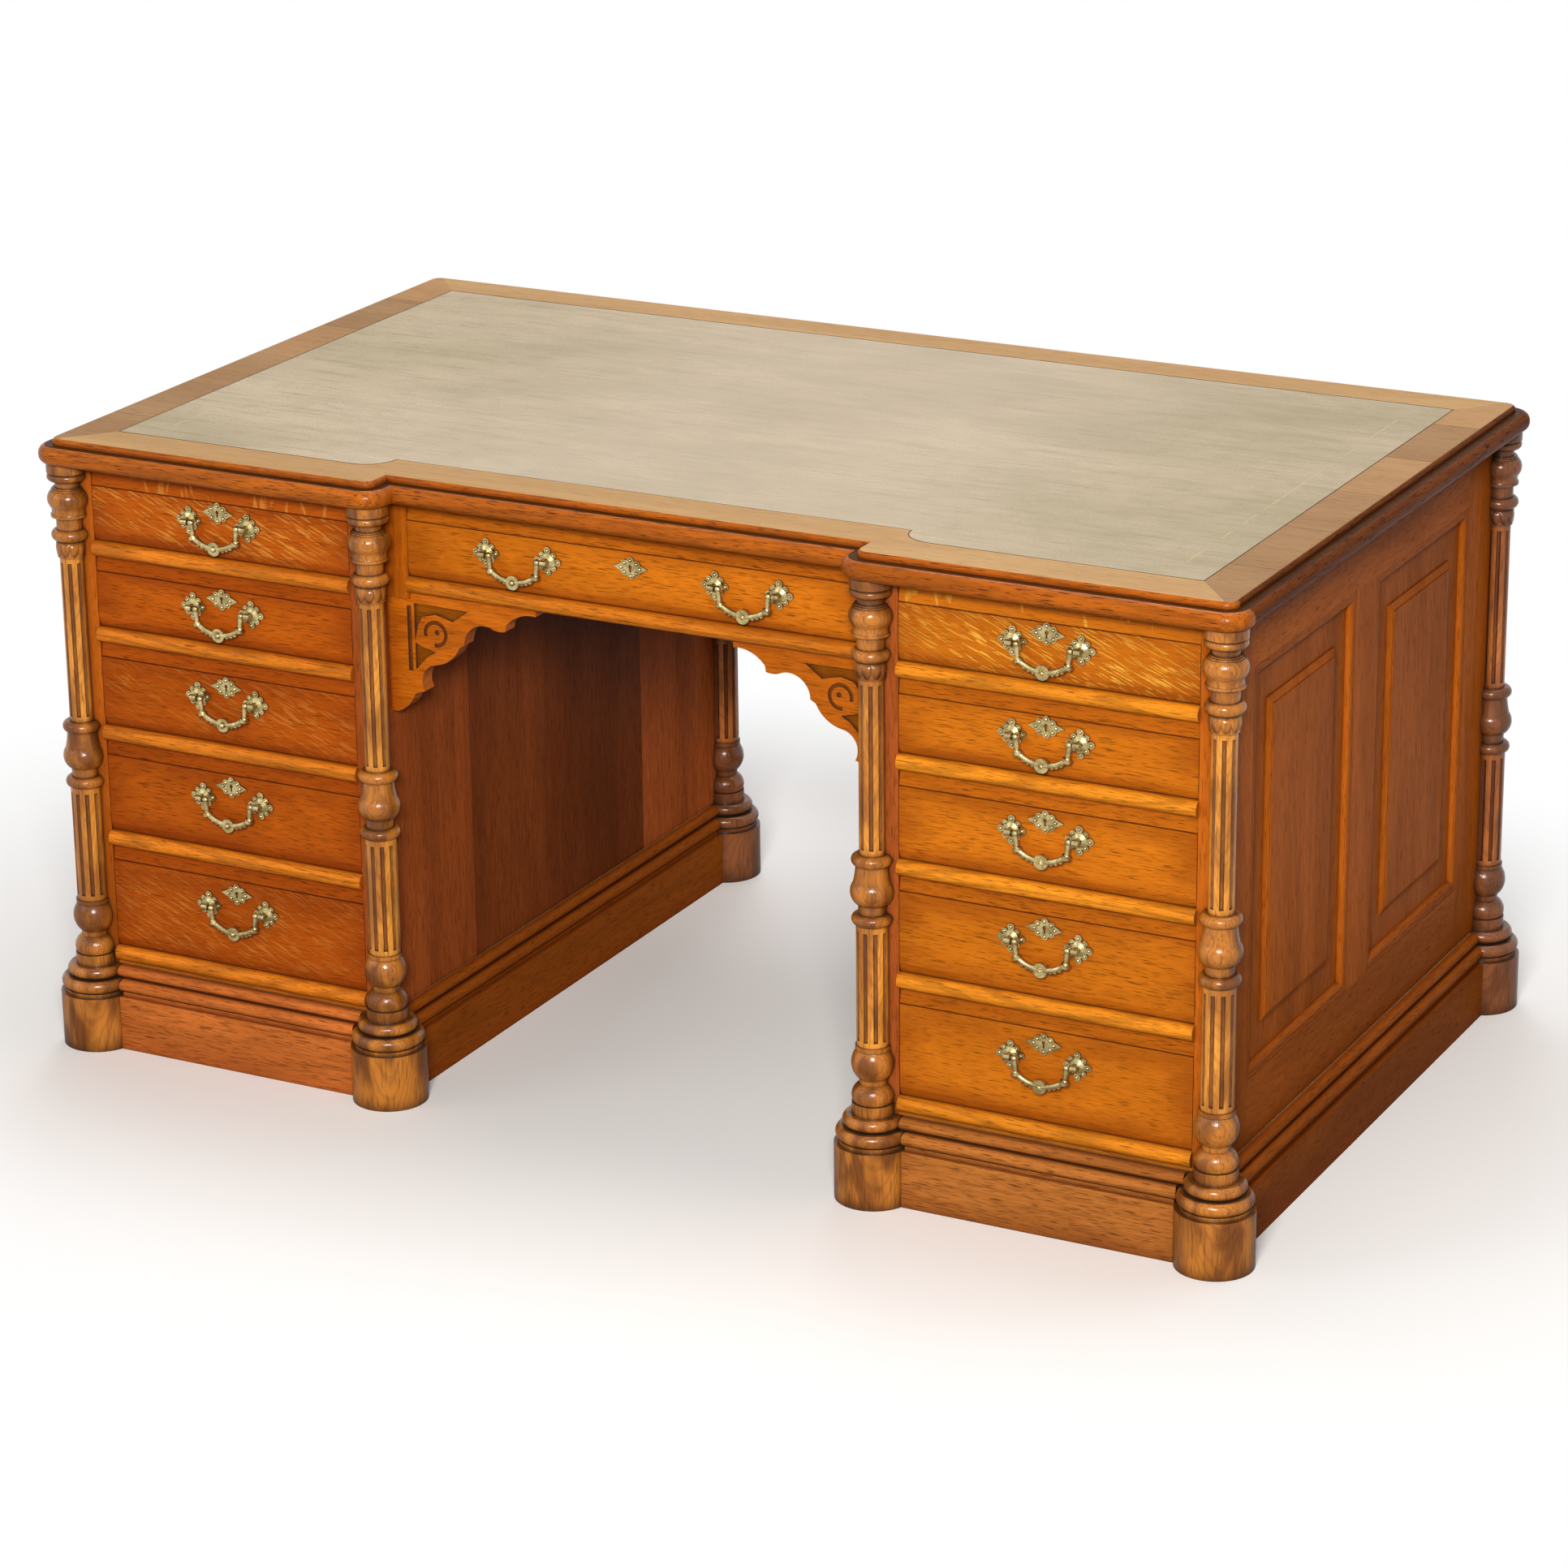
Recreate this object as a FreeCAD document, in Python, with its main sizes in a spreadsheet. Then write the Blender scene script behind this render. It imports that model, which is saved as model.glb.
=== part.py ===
import FreeCAD, Part
import math
import os
import re

# A twin pedestal partners desk in oak: X runs along the front, Y towards the back, Z up.
# The drawers face -Y. The origin is on the floor, in the middle of the desk.

doc = FreeCAD.newDocument("PartnersDesk")
sheet = doc.addObject("Spreadsheet::Sheet", "Sizes")
derived = doc.addObject("App::FeaturePython", "Derived")

DRIVING = {
    # Plan: the turned posts set out the whole desk
    "outer_post_x": 758.0,
    "inner_post_x": 330.0,
    "post_y": 436.0,
    "face_inset": 5.0,
    "break_depth": 37.0,
    # Top
    "nosing_reach": 33.0,
    "nosing_height": 23.5,
    "nosing_round": 11.0,
    "lip_setback": 18.0,
    "lip_height": 8.0,
    "lip_round": 5.5,
    "leather_inset": 62.0,
    "leather_thickness": 1.5,
    "leather_gap": 0.3,
    # Carcass boards
    "side_thickness": 26.0,
    "knee_board_count": 4,
    "partition_thickness": 16.0,
    "floor_thickness": 12.0,
    "shelf_thickness": 14.0,
    "shelf_height": 290.0,
    "shelf_setback": 30.0,
    # Framed ends
    "end_stile": 90.0,
    "end_middle": 66.0,
    "end_rail_low": 79.0,
    "end_rail_top": 74.5,
    "panel_back": 5.0,
    "panel_board": 14.0,
    "field_share": 0.172,
    "field_edge": 9.0,
    "field_rise": 6.0,
    "field_quirk": 2.0,
    "field_step": 1.2,
    "bead_width": 15.0,
    "bead_height": 6.5,
    # Plinth, from the floor up
    "foot_height": 70.0,
    "base_groove": 5.0,
    "low_torus": 16.0,
    "high_torus": 15.0,
    "bed_fillet": 4.5,
    "plinth_proud": 17.0,
    "groove_proud": 11.0,
    "low_torus_proud": 15.5,
    "high_torus_proud": 8.0,
    "plinth_thickness": 20.0,
    "fit_gap": 0.3,
    # Drawer rails with their half round fronts
    "rail_height": 20.0,
    "rail_proud": 8.0,
    "rail_depth": 60.0,
    "top_rail_height": 8.5,
    "runner_width": 22.0,
    "runner_height": 12.0,
    # Drawers, the first at the top
    "drawer_1": 88.0,
    "drawer_2": 89.5,
    "drawer_3": 107.0,
    "drawer_4": 118.0,
    "drawer_5": 133.0,
    "drawer_gap": 0.8,
    "drawer_depth": 400.0,
    "drawer_back_gap": 23.0,
    "front_thickness": 20.0,
    "strip_height": 17.0,
    "strip_slope": 2.5,
    "strip_groove": 1.5,
    "strip_groove_depth": 2.2,
    "bevel_height": 10.0,
    "bevel_depth": 3.0,
    "box_board": 9.0,
    "box_drop": 14.0,
    "box_bottom": 6.0,
    "box_bottom_lift": 6.0,
    # Kneehole frieze
    "frieze_stile": 32.0,
    "frieze_stile_drop": 8.0,
    "frieze_stile_depth": 24.0,
    "frieze_back": 20.0,
    "bearer_width": 46.0,
    "centre_depth": 520.0,
    # Carved corbels
    "corbel_reach": 204.0,
    "corbel_drop": 152.0,
    "corbel_thickness": 22.0,
    "corbel_setback": 2.0,
    "carving_depth": 4.0,
    # Turned posts: radii
    "foot_radius": 46.5,
    "groove_radius": 41.5,
    "low_ring_radius": 44.7,
    "high_ring_radius": 36.5,
    "stool_radius": 25.4,
    "neck_radius": 16.5,
    "ball_radius": 25.7,
    "lower_shaft_radius": 19.2,
    "upper_shaft_radius": 15.0,
    "ring_radius": 24.4,
    "collar_radius": 17.2,
    "vase_radius": 25.7,
    "cap_radius": 25.0,
    "flute_radius": 2.7,
    "lower_flutes": 10,
    "upper_flutes": 8,
    # Turned posts: heights, from the plinth up
    "stool_height": 14.3,
    "cushion_height": 23.0,
    "ball_neck": 6.0,
    "ball_height": 37.0,
    "ball_rim": 5.0,
    "lower_shaft_height": 148.0,
    "ring_height": 14.0,
    "waist_height": 12.0,
    "bell_height": 46.0,
    "collar_height": 21.0,
    "cap_neck": 16.0,
    "vase_height": 36.8,
    "cap_cove": 8.5,
    "cap_torus": 9.2,
    "cap_height": 13.0,
    # Drop handles and escutcheons
    "rosette_spread": 41.5,
    "rosette_reach": 17.5,
    "rosette_thickness": 2.2,
    "rosette_drop": 22.0,
    "rosette_share": 0.25,
    "stud_radius": 4.0,
    "pivot_stand": 11.0,
    "pin_radius": 1.6,
    "pin_clearance": 0.06,
    "bail_half_span": 32.6,
    "bail_knot_x": 30.5,
    "bail_knot_drop": 17.5,
    "bail_drop": 28.5,
    "bail_radius": 3.6,
    "arm_radius": 3.5,
    "collar_bead": 5.6,
    "boss_radius": 8.6,
    "boss_thickness": 6.5,
    "bead_radius": 2.7,
    "centre_handle_x": 152.0,
    "escutcheon_width": 45.0,
    "escutcheon_height": 26.0,
    "escutcheon_thickness": 2.0,
    "escutcheon_lift": 13.0,
    # Cupboard doors at the back
    "door_thickness": 22.0,
    "door_stile": 58.0,
    "door_gap": 1.2,
    "hinge_gap": 2.4,
    "hinge_leaf": 1.0,
    "hinge_leaf_depth": 20.0,
    "hinge_height": 64.0,
    "hinge_inset": 90.0,
    "knuckle_radius": 3.6,
    "knuckle_stand": 4.0,
    "hinge_pin_radius": 1.5,
    "knob_radius": 11.0,
    "knob_stand": 16.0,
}

for row, (alias, value) in enumerate(DRIVING.items(), start=1):
    sheet.set(f"A{row}", alias)
    sheet.set(f"B{row}", str(value))
    sheet.setAlias(f"B{row}", alias)
doc.recompute()

WORD = re.compile(r"[a-z][a-z0-9_]*")


def cells(text):
    """Turns a sum of size names into an expression on the sheet and on the sizes worked out from it."""
    def owner(word):
        name = word.group(0)
        return ("Sizes." if name in DRIVING else "Derived.") + name
    return WORD.sub(owner, text)


def derive(name, text):
    """Adds a size that is worked out from others, bound to them."""
    derived.addProperty("App::PropertyFloat", name)
    derived.setExpression(name, cells(text))


def size(name):
    """Reads a size for the solids that are shaped in code."""
    if name in DRIVING:
        return float(sheet.get(name))
    return float(getattr(derived, name))


# Levels and planes that several pieces share
derive("base_top", "foot_height + base_groove + low_torus + high_torus")
derive("rail_z_5", "base_top + bed_fillet")
for number in (5, 4, 3, 2, 1):
    derive(f"drawer_z_{number}", f"rail_z_{number} + rail_height")
    derive(f"rail_z_{number - 1}", f"drawer_z_{number} + drawer_{number}")
derive("under_top", "rail_z_0 + top_rail_height")
derive("board_top", "under_top + nosing_height + lip_height")
derive("face_y", "post_y - face_inset")
derive("centre_y", "face_y - break_depth")
derive("knee_x", "inner_post_x + face_inset")
derive("end_x", "outer_post_x - face_inset")
derive("bay_low", "knee_x + side_thickness")
derive("bay_high", "end_x - side_thickness")
derive("bay_width", "bay_high - bay_low")
derive("bay_middle", "(bay_low + bay_high) / 2")
derive("frieze_x", "knee_x - frieze_stile")
derive("plinth_in", "plinth_thickness - plinth_proud")
derive("carcass_height", "under_top - base_top")
derive("torus_set", "rail_height / 2 - rail_proud")
derive("bay_front", "0 - face_y")
derive("centre_front", "0 - centre_y")
derive("partition_y", "drawer_depth + drawer_back_gap - face_y")
derive("partition_back", "partition_y + partition_thickness")
derive("knee_board", "2 * face_y / knee_board_count")
doc.recompute()

Vector = FreeCAD.Vector
ALONG_X = FreeCAD.Rotation(Vector(0, 1, 0), 90)
ALONG_Y = FreeCAD.Rotation(Vector(1, 0, 0), -90)
QUARTER_TURN = FreeCAD.Rotation(Vector(0, 0, 1), 90)
HALF_TURN = FreeCAD.Rotation(Vector(0, 0, 1), 180)
nodes = []


# Building blocks

def place(obj, corner):
    for axis, text in zip("xyz", corner):
        obj.setExpression("Placement.Base." + axis, cells(text))
    return obj


def board(name, lengths, corner):
    """A plain board from its three lengths and its low corner."""
    obj = doc.addObject("Part::Box", name)
    for prop, text in zip(("Length", "Width", "Height"), lengths):
        obj.setExpression(prop, cells(text))
    return place(obj, corner)


def rod(name, radius, length, start, turn=None):
    """A round rod from one end, along Z or turned along another axis."""
    obj = doc.addObject("Part::Cylinder", name)
    obj.setExpression("Radius", cells(radius))
    obj.setExpression("Height", cells(length))
    if turn:
        obj.Placement = FreeCAD.Placement(Vector(0, 0, 0), turn)
    return place(obj, start)


def fused(name, pieces):
    obj = doc.addObject("Part::MultiFuse", name)
    obj.Shapes = pieces
    obj.Refine = True
    return obj


def cut(name, base, tool):
    obj = doc.addObject("Part::Cut", name)
    obj.Base = base
    obj.Tool = tool
    return obj


def shaped(name, shape, position=(0, 0, 0), turn=FreeCAD.Rotation()):
    """A solid that is shaped in code from the sheet's sizes."""
    obj = doc.addObject("Part::Feature", name)
    obj.Shape = shape
    obj.Placement = FreeCAD.Placement(Vector(*position), turn)
    return obj


def node(label, pieces, corner=None):
    """A named sub-part of one or more separate solids."""
    obj = doc.addObject("Part::Compound", label)
    obj.Links = pieces
    obj.Label = label
    if corner:
        place(obj, corner)
    nodes.append(obj)
    return obj


def mirrored(label, source):
    """The left-hand twin of a right-hand sub-part."""
    obj = doc.addObject("Part::Mirroring", label)
    obj.Source = source
    obj.Normal = (1, 0, 0)
    obj.Base = (0, 0, 0)
    obj.Label = label
    nodes.append(obj)
    return obj


def pair(name, pieces):
    """A right-hand sub-part and its left-hand twin."""
    right = node(name + "_right", pieces)
    mirrored(name + "_left", right)
    return right


def solid_box(low, high):
    lengths = [b - a for a, b in zip(low, high)]
    return Part.makeBox(*lengths, Vector(*low))


def prism(points, direction):
    """A straight sided solid on a polygon."""
    corners = [Vector(*point) for point in points]
    return Part.Face(Part.makePolygon(corners + corners[:1])).extrude(Vector(*direction))


def rectangle(y_low, y_high, z_low, z_high, x):
    return Part.makePolygon([Vector(x, y_low, z_low), Vector(x, y_high, z_low), Vector(x, y_high, z_high),
                             Vector(x, y_low, z_high), Vector(x, y_low, z_low)])


# Top with a recessed front over the kneehole, a half round edge and a raised lip

def rim_edges(shape, level):
    return [edge for edge in shape.Edges if all(abs(end.Z - level) < 1e-6 for end in edge.Vertexes)]


def top_block(x_low, x_high, reach, level, height):
    depth = size("post_y") + reach
    block = solid_box((x_low, -depth, level), (x_high, depth, level + height))
    uprights = [edge for edge in block.Edges if edge.Vertexes[0].Z != edge.Vertexes[-1].Z]
    return block.makeFillet(reach, uprights)


def top_layer(reach, level, height):
    outer = size("outer_post_x") + reach
    inner = size("inner_post_x") - reach
    depth = size("post_y") + reach
    right = top_block(inner, outer, reach, level, height)
    left = top_block(-outer, -inner, reach, level, height)
    middle = solid_box((-size("inner_post_x"), size("break_depth") - depth, level),
                       (size("inner_post_x"), depth, level + height))
    return right.fuse([left, middle]).removeSplitter()


def leather_face(inset, level):
    """The writing surface, which follows the recessed front with quarter round corners."""
    lip = size("nosing_reach") - size("lip_setback")
    half_x = size("outer_post_x") + lip - inset
    half_y = size("post_y") + lip - inset
    turn_x = size("inner_post_x") - lip + inset
    bend = size("break_depth")
    slant = bend * math.sqrt(0.5)
    at = lambda x, y: Vector(x, y, level)
    edges = [Part.makeLine(at(half_x, -half_y), at(half_x, half_y)),
             Part.makeLine(at(half_x, half_y), at(-half_x, half_y)),
             Part.makeLine(at(-half_x, half_y), at(-half_x, -half_y)),
             Part.makeLine(at(-half_x, -half_y), at(-turn_x, -half_y)),
             Part.Arc(at(-turn_x, -half_y), at(-turn_x + slant, -half_y + bend - slant),
                      at(-turn_x + bend, -half_y + bend)).toShape(),
             Part.makeLine(at(-turn_x + bend, -half_y + bend), at(turn_x - bend, -half_y + bend)),
             Part.Arc(at(turn_x - bend, -half_y + bend), at(turn_x - slant, -half_y + bend - slant),
                      at(turn_x, -half_y)).toShape(),
             Part.makeLine(at(turn_x, -half_y), at(half_x, -half_y))]
    return Part.Face(Part.Wire(edges))


def make_top():
    under = size("under_top")
    shoulder = under + size("nosing_height")
    upper = size("board_top")
    nosing = top_layer(size("nosing_reach"), under, size("nosing_height"))
    nosing = nosing.makeFillet(size("nosing_round"), rim_edges(nosing, under) + rim_edges(nosing, shoulder))
    lip = top_layer(size("nosing_reach") - size("lip_setback"), shoulder, size("lip_height"))
    lip = lip.makeFillet(size("lip_round"), rim_edges(lip, upper))
    bed = upper - size("leather_thickness")
    pocket = leather_face(size("leather_inset") - size("leather_gap"), bed)
    pocket = pocket.extrude(Vector(0, 0, size("leather_thickness")))
    leather = leather_face(size("leather_inset"), bed).extrude(Vector(0, 0, size("leather_thickness")))
    node("top_board", [shaped("top_solid", nosing.fuse(lip).removeSplitter().cut(pocket))])
    node("leather_inlay", [shaped("leather_solid", leather)])


# Framed ends with two raised and fielded panels each

def bead_ring(y_low, y_high, z_low, z_high, x):
    """A quarter round moulding inside a panel opening, mitred at its corners."""
    width = size("bead_width")
    rise = size("bead_height")
    y_mid = (y_low + y_high) / 2
    path = Part.makePolygon([Vector(x, y_mid, z_low), Vector(x, y_high, z_low), Vector(x, y_high, z_high),
                             Vector(x, y_low, z_high), Vector(x, y_low, z_low), Vector(x, y_mid, z_low)])
    heel = Vector(x, y_mid, z_low)
    crest = Vector(x + rise, y_mid, z_low)
    round_start = Vector(x + rise, y_mid, z_low + width * 0.35)
    round_middle = Vector(x + rise * 0.78, y_mid, z_low + width * 0.8)
    toe = Vector(x, y_mid, z_low + width)
    profile = Part.Wire([Part.makeLine(heel, crest), Part.makeLine(crest, round_start),
                         Part.Arc(round_start, round_middle, toe).toShape(), Part.makeLine(toe, heel)])
    return path.makePipeShell([profile], True, False, 1)


def raised_panel(y_low, y_high, z_low, z_high, x):
    """A flat panel whose field is raised on a quirk, a bevel and a small step."""
    face = x + size("panel_board")
    quirk = size("field_quirk")
    rise = size("field_rise")
    step = size("field_step")
    outer = size("field_share") * (y_high - y_low)
    inner = outer + size("field_edge")

    def block(inset, low, high):
        return solid_box((low, y_low + inset, z_low + inset), (high, y_high - inset, z_high - inset))

    def outline(inset, level):
        return rectangle(y_low + inset, y_high - inset, z_low + inset, z_high - inset, level)

    bevel = Part.makeLoft([outline(outer, face + quirk), outline(inner - step, face + rise - step)], True, True)
    pieces = [block(outer, face, face + quirk), bevel, block(inner, face, face + rise)]
    return block(0, x, face).fuse(pieces).removeSplitter()


def make_ends():
    depth = ("side_thickness", "end_stile", "carcass_height")
    middle_height = "carcass_height - end_rail_low - end_rail_top"
    rail_length = "2 * (face_y - end_stile)"
    frame = [board("end_front_stile", depth, ("bay_high", "0 - face_y", "base_top")),
             board("end_back_stile", depth, ("bay_high", "face_y - end_stile", "base_top")),
             board("end_middle_stile", ("side_thickness", "end_middle", middle_height),
                   ("bay_high", "0 - end_middle / 2", "base_top + end_rail_low")),
             board("end_low_rail", ("side_thickness", rail_length, "end_rail_low"),
                   ("bay_high", "end_stile - face_y", "base_top")),
             board("end_top_rail", ("side_thickness", rail_length, "end_rail_top"),
                   ("bay_high", "end_stile - face_y", "under_top - end_rail_top"))]
    pair("end_frame", frame)
    z_low = size("base_top") + size("end_rail_low")
    z_high = size("under_top") - size("end_rail_top")
    near = size("end_middle") / 2
    far = size("face_y") - size("end_stile")
    x = size("bay_high") + size("panel_back")
    panels = []
    for name, y_low, y_high in (("front", -far, -near), ("back", near, far)):
        panels.append(shaped(f"end_panel_{name}", raised_panel(y_low, y_high, z_low, z_high, x)))
        bead = bead_ring(y_low, y_high, z_low, z_high, x + size("panel_board"))
        panels.append(shaped(f"end_bead_{name}", bead))
    pair("end_panels", panels)


# Kneehole sides, partitions with a cupboard shelf, and floor boards

def make_carcass():
    count = int(size("knee_board_count"))
    pair("knee_side", [board(f"knee_board_{step}", ("side_thickness", "knee_board", "carcass_height"),
                             ("knee_x", f"{step} * knee_board - face_y", "base_top")) for step in range(count)])
    shelf_depth = "face_y - partition_back - door_thickness - shelf_setback"
    pair("partition", [board("partition_board", ("bay_width", "partition_thickness", "carcass_height"),
                             ("bay_low", "partition_y", "base_top")),
                       board("cupboard_shelf", ("bay_width", shelf_depth, "shelf_thickness"),
                             ("bay_low", "partition_back", "base_top + shelf_height"))])
    width = "outer_post_x - inner_post_x - 2 * plinth_in"
    blank = board("floor_blank", (width, "2 * (post_y - plinth_in)", "floor_thickness"),
                  ("inner_post_x + plinth_in", "plinth_in - post_y", "base_top - floor_thickness"))
    feet = [rod(f"floor_notch_{count}", "high_ring_radius + fit_gap", "floor_thickness",
                (x, y, "base_top - floor_thickness"))
            for count, (x, y) in enumerate(POST_PLACES)]
    pair("floor_board", [cut("floor_solid", blank, fused("floor_notches", feet))])


POST_PLACES = [("outer_post_x", "0 - post_y"), ("inner_post_x", "0 - post_y"),
               ("inner_post_x", "post_y"), ("outer_post_x", "post_y")]


# Plinth: four boards with a groove and two half round mouldings, coped to the turned feet

def plinth_ring(name, level, height, proud):
    return board(name, (f"outer_post_x - inner_post_x + 2 * ({proud})", f"2 * (post_y + {proud})", height),
                 (f"inner_post_x - ({proud})", f"0 - post_y - ({proud})", level))


def plinth_torus(name, level, height, proud):
    """A backing board and a half round rod along each of the four sides."""
    back = f"{proud} - {height} / 2"
    centre = f"{level} + {height} / 2"
    run_x = "outer_post_x - inner_post_x"
    pieces = [plinth_ring(name + "_back", level, height, back)]
    for end, y in (("front", f"0 - post_y - ({back})"), ("rear", f"post_y + {back}")):
        pieces.append(rod(f"{name}_{end}", f"{height} / 2", run_x, ("inner_post_x", y, centre), ALONG_X))
    for end, x in (("knee", f"inner_post_x - ({back})"), ("end", f"outer_post_x + {back}")):
        pieces.append(rod(f"{name}_{end}", f"{height} / 2", "2 * post_y", (x, "0 - post_y", centre), ALONG_Y))
    return pieces


def make_plinth():
    groove_level = "foot_height"
    low_level = "foot_height + base_groove"
    high_level = "foot_height + base_groove + low_torus"
    layers = [plinth_ring("plinth_boards", "0", "foot_height", "plinth_proud"),
              plinth_ring("plinth_groove", groove_level, "base_groove", "groove_proud")]
    layers += plinth_torus("plinth_low", low_level, "low_torus", "low_torus_proud")
    layers += plinth_torus("plinth_high", high_level, "high_torus", "high_torus_proud")
    inside = board("plinth_inside",
                   ("outer_post_x - inner_post_x - 2 * plinth_in", "2 * (post_y - plinth_in)", "base_top"),
                   ("inner_post_x + plinth_in", "plinth_in - post_y", "0"))
    copes = [inside]
    steps = (("foot", "foot_radius", "0", low_level), ("low", "low_ring_radius", low_level, "low_torus"),
             ("high", "high_ring_radius", high_level, "high_torus"))
    for name, radius, level, height in steps:
        for count, (x, y) in enumerate(POST_PLACES):
            copes.append(rod(f"cope_{name}_{count}", f"{radius} + fit_gap", height, (x, y, level)))
    pair("plinth", [cut("plinth_solid", fused("plinth_layers", layers), fused("plinth_copes", copes))])


# Turned and fluted posts, cut to three quarters where they stand against the carcass

def post_profile():
    """Half outline of a post from the floor up, as straight lines and arcs of radius and height."""
    edges = []
    state = {"radius": 0.0, "level": 0.0}

    def point(radius, level):
        return Vector(radius, 0, level)

    def across(radius):
        if abs(radius - state["radius"]) > 1e-6:
            edges.append(Part.makeLine(point(state["radius"], state["level"]), point(radius, state["level"])))
        state["radius"] = radius

    def straight(radius, height):
        across(radius)
        edges.append(Part.makeLine(point(radius, state["level"]), point(radius, state["level"] + height)))
        state["level"] += height

    def bulge(start, middle, end, height, share=0.5):
        across(start)
        level = state["level"]
        edges.append(Part.Arc(point(start, level), point(middle, level + height * share),
                              point(end, level + height)).toShape())
        state["radius"] = end
        state["level"] += height

    neck = size("neck_radius")
    ring = size("ring_radius")
    ring_root = ring - size("ring_height") * 0.4
    straight(size("foot_radius"), size("foot_height"))
    straight(size("groove_radius"), size("base_groove"))
    low_root = size("low_ring_radius") - size("low_torus") * 0.3
    bulge(low_root, size("low_ring_radius"), low_root, size("low_torus"))
    high_root = size("high_ring_radius") - size("high_torus") * 0.3
    bulge(high_root, size("high_ring_radius"), high_root, size("high_torus"))
    straight(size("stool_radius"), size("stool_height"))
    bulge(size("stool_radius") - 2, size("stool_radius"), neck, size("cushion_height"), 0.3)
    straight(neck, size("ball_neck"))
    bulge(neck + 0.5, size("ball_radius"), size("lower_shaft_radius"), size("ball_height"), 0.55)
    straight(size("lower_shaft_radius") + 1.8, size("ball_rim"))
    straight(size("lower_shaft_radius"), size("lower_shaft_height"))
    bulge(ring_root, ring, ring_root, size("ring_height"))
    straight(neck, size("waist_height"))
    bell = size("bell_height")
    bulge(neck + 3, size("vase_radius"), size("vase_radius") - 3.5, bell * 0.55)
    bulge(size("vase_radius") - 3.5, neck + 3.6, neck + 2.5, bell * 0.45, 0.55)
    bulge(ring_root, ring, ring_root, size("ring_height"))
    state["flutes_low"] = state["level"]
    top_stack = ("collar_height", "ring_height", "cap_neck", "vase_height", "cap_cove", "cap_torus", "cap_height")
    shaft = size("under_top") - state["level"] - sum(size(name) for name in top_stack)
    straight(size("upper_shaft_radius"), shaft)
    straight(size("collar_radius"), size("collar_height"))
    bulge(ring_root, ring - 1, ring_root, size("ring_height"))
    straight(neck, size("cap_neck"))
    vase = size("vase_height")
    belly = size("vase_radius")
    straight(belly - 3.2, vase * 0.09)
    bulge(belly - 4, belly - 4.6, belly - 2.4, vase * 0.28)
    bulge(belly - 2.4, belly, belly - 4.4, vase * 0.52, 0.54)
    straight(belly - 5.4, vase * 0.06)
    straight(belly - 7, vase * 0.05)
    straight(neck - 0.8, size("cap_cove"))
    cap = size("cap_radius")
    bulge(neck + 1, cap - 0.2, cap - 2, size("cap_torus"), 0.6)
    groove = size("cap_height") * 0.12
    straight(cap - 2.8, groove)
    straight(cap, size("cap_height") - groove)
    across(0.0)
    edges.append(Part.makeLine(point(0, state["level"]), point(0, 0)))
    return Part.Wire(edges), state["flutes_low"], shaft


def flutes(radius, level, height, count):
    margin = size("flute_radius") * 2.5
    cutters = []
    for step in range(count):
        angle = 2 * math.pi * (step + 0.5) / count
        reach = radius + size("flute_radius") * 0.2
        start = Vector(reach * math.cos(angle), reach * math.sin(angle), level + margin)
        cutters.append(Part.makeCylinder(size("flute_radius"), height - 2 * margin, start))
    return cutters


def make_posts():
    wire, shaft_low, shaft_height = post_profile()
    post = Part.Face(wire).revolve(Vector(0, 0, 0), Vector(0, 0, 1), 360)
    lower_low = size("base_top") + size("stool_height") + size("cushion_height") + size("ball_neck")
    lower_low += size("ball_height") + size("ball_rim")
    cutters = flutes(size("lower_shaft_radius"), lower_low, size("lower_shaft_height"), int(size("lower_flutes")))
    cutters += flutes(size("upper_shaft_radius"), shaft_low, shaft_height, int(size("upper_flutes")))
    post = post.cut(cutters)
    inset = size("face_inset")
    wide = size("foot_radius")
    places = ((1, -1, "outer_front"), (-1, -1, "inner_front"), (-1, 1, "inner_back"), (1, 1, "outer_back"))
    posts = []
    for side, end, name in places:
        x = sorted((-side * inset, -side * (inset + wide)))
        y = sorted((-end * inset, -end * (inset + wide)))
        corner = solid_box((x[0], y[0], size("base_top")), (x[1], y[1], size("under_top")))
        axis_x = size("outer_post_x") if side > 0 else size("inner_post_x")
        posts.append(shaped(f"post_{name}", post.cut(corner), (axis_x, end * size("post_y"), 0)))
    pair("posts", posts)


# Drawer rails with half round fronts, and the runners behind them

def half_round(name, x, length, front, level):
    return rod(name, "rail_height / 2", length, (x, f"{front} + torus_set", f"{level} + rail_height / 2"), ALONG_X)


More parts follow.
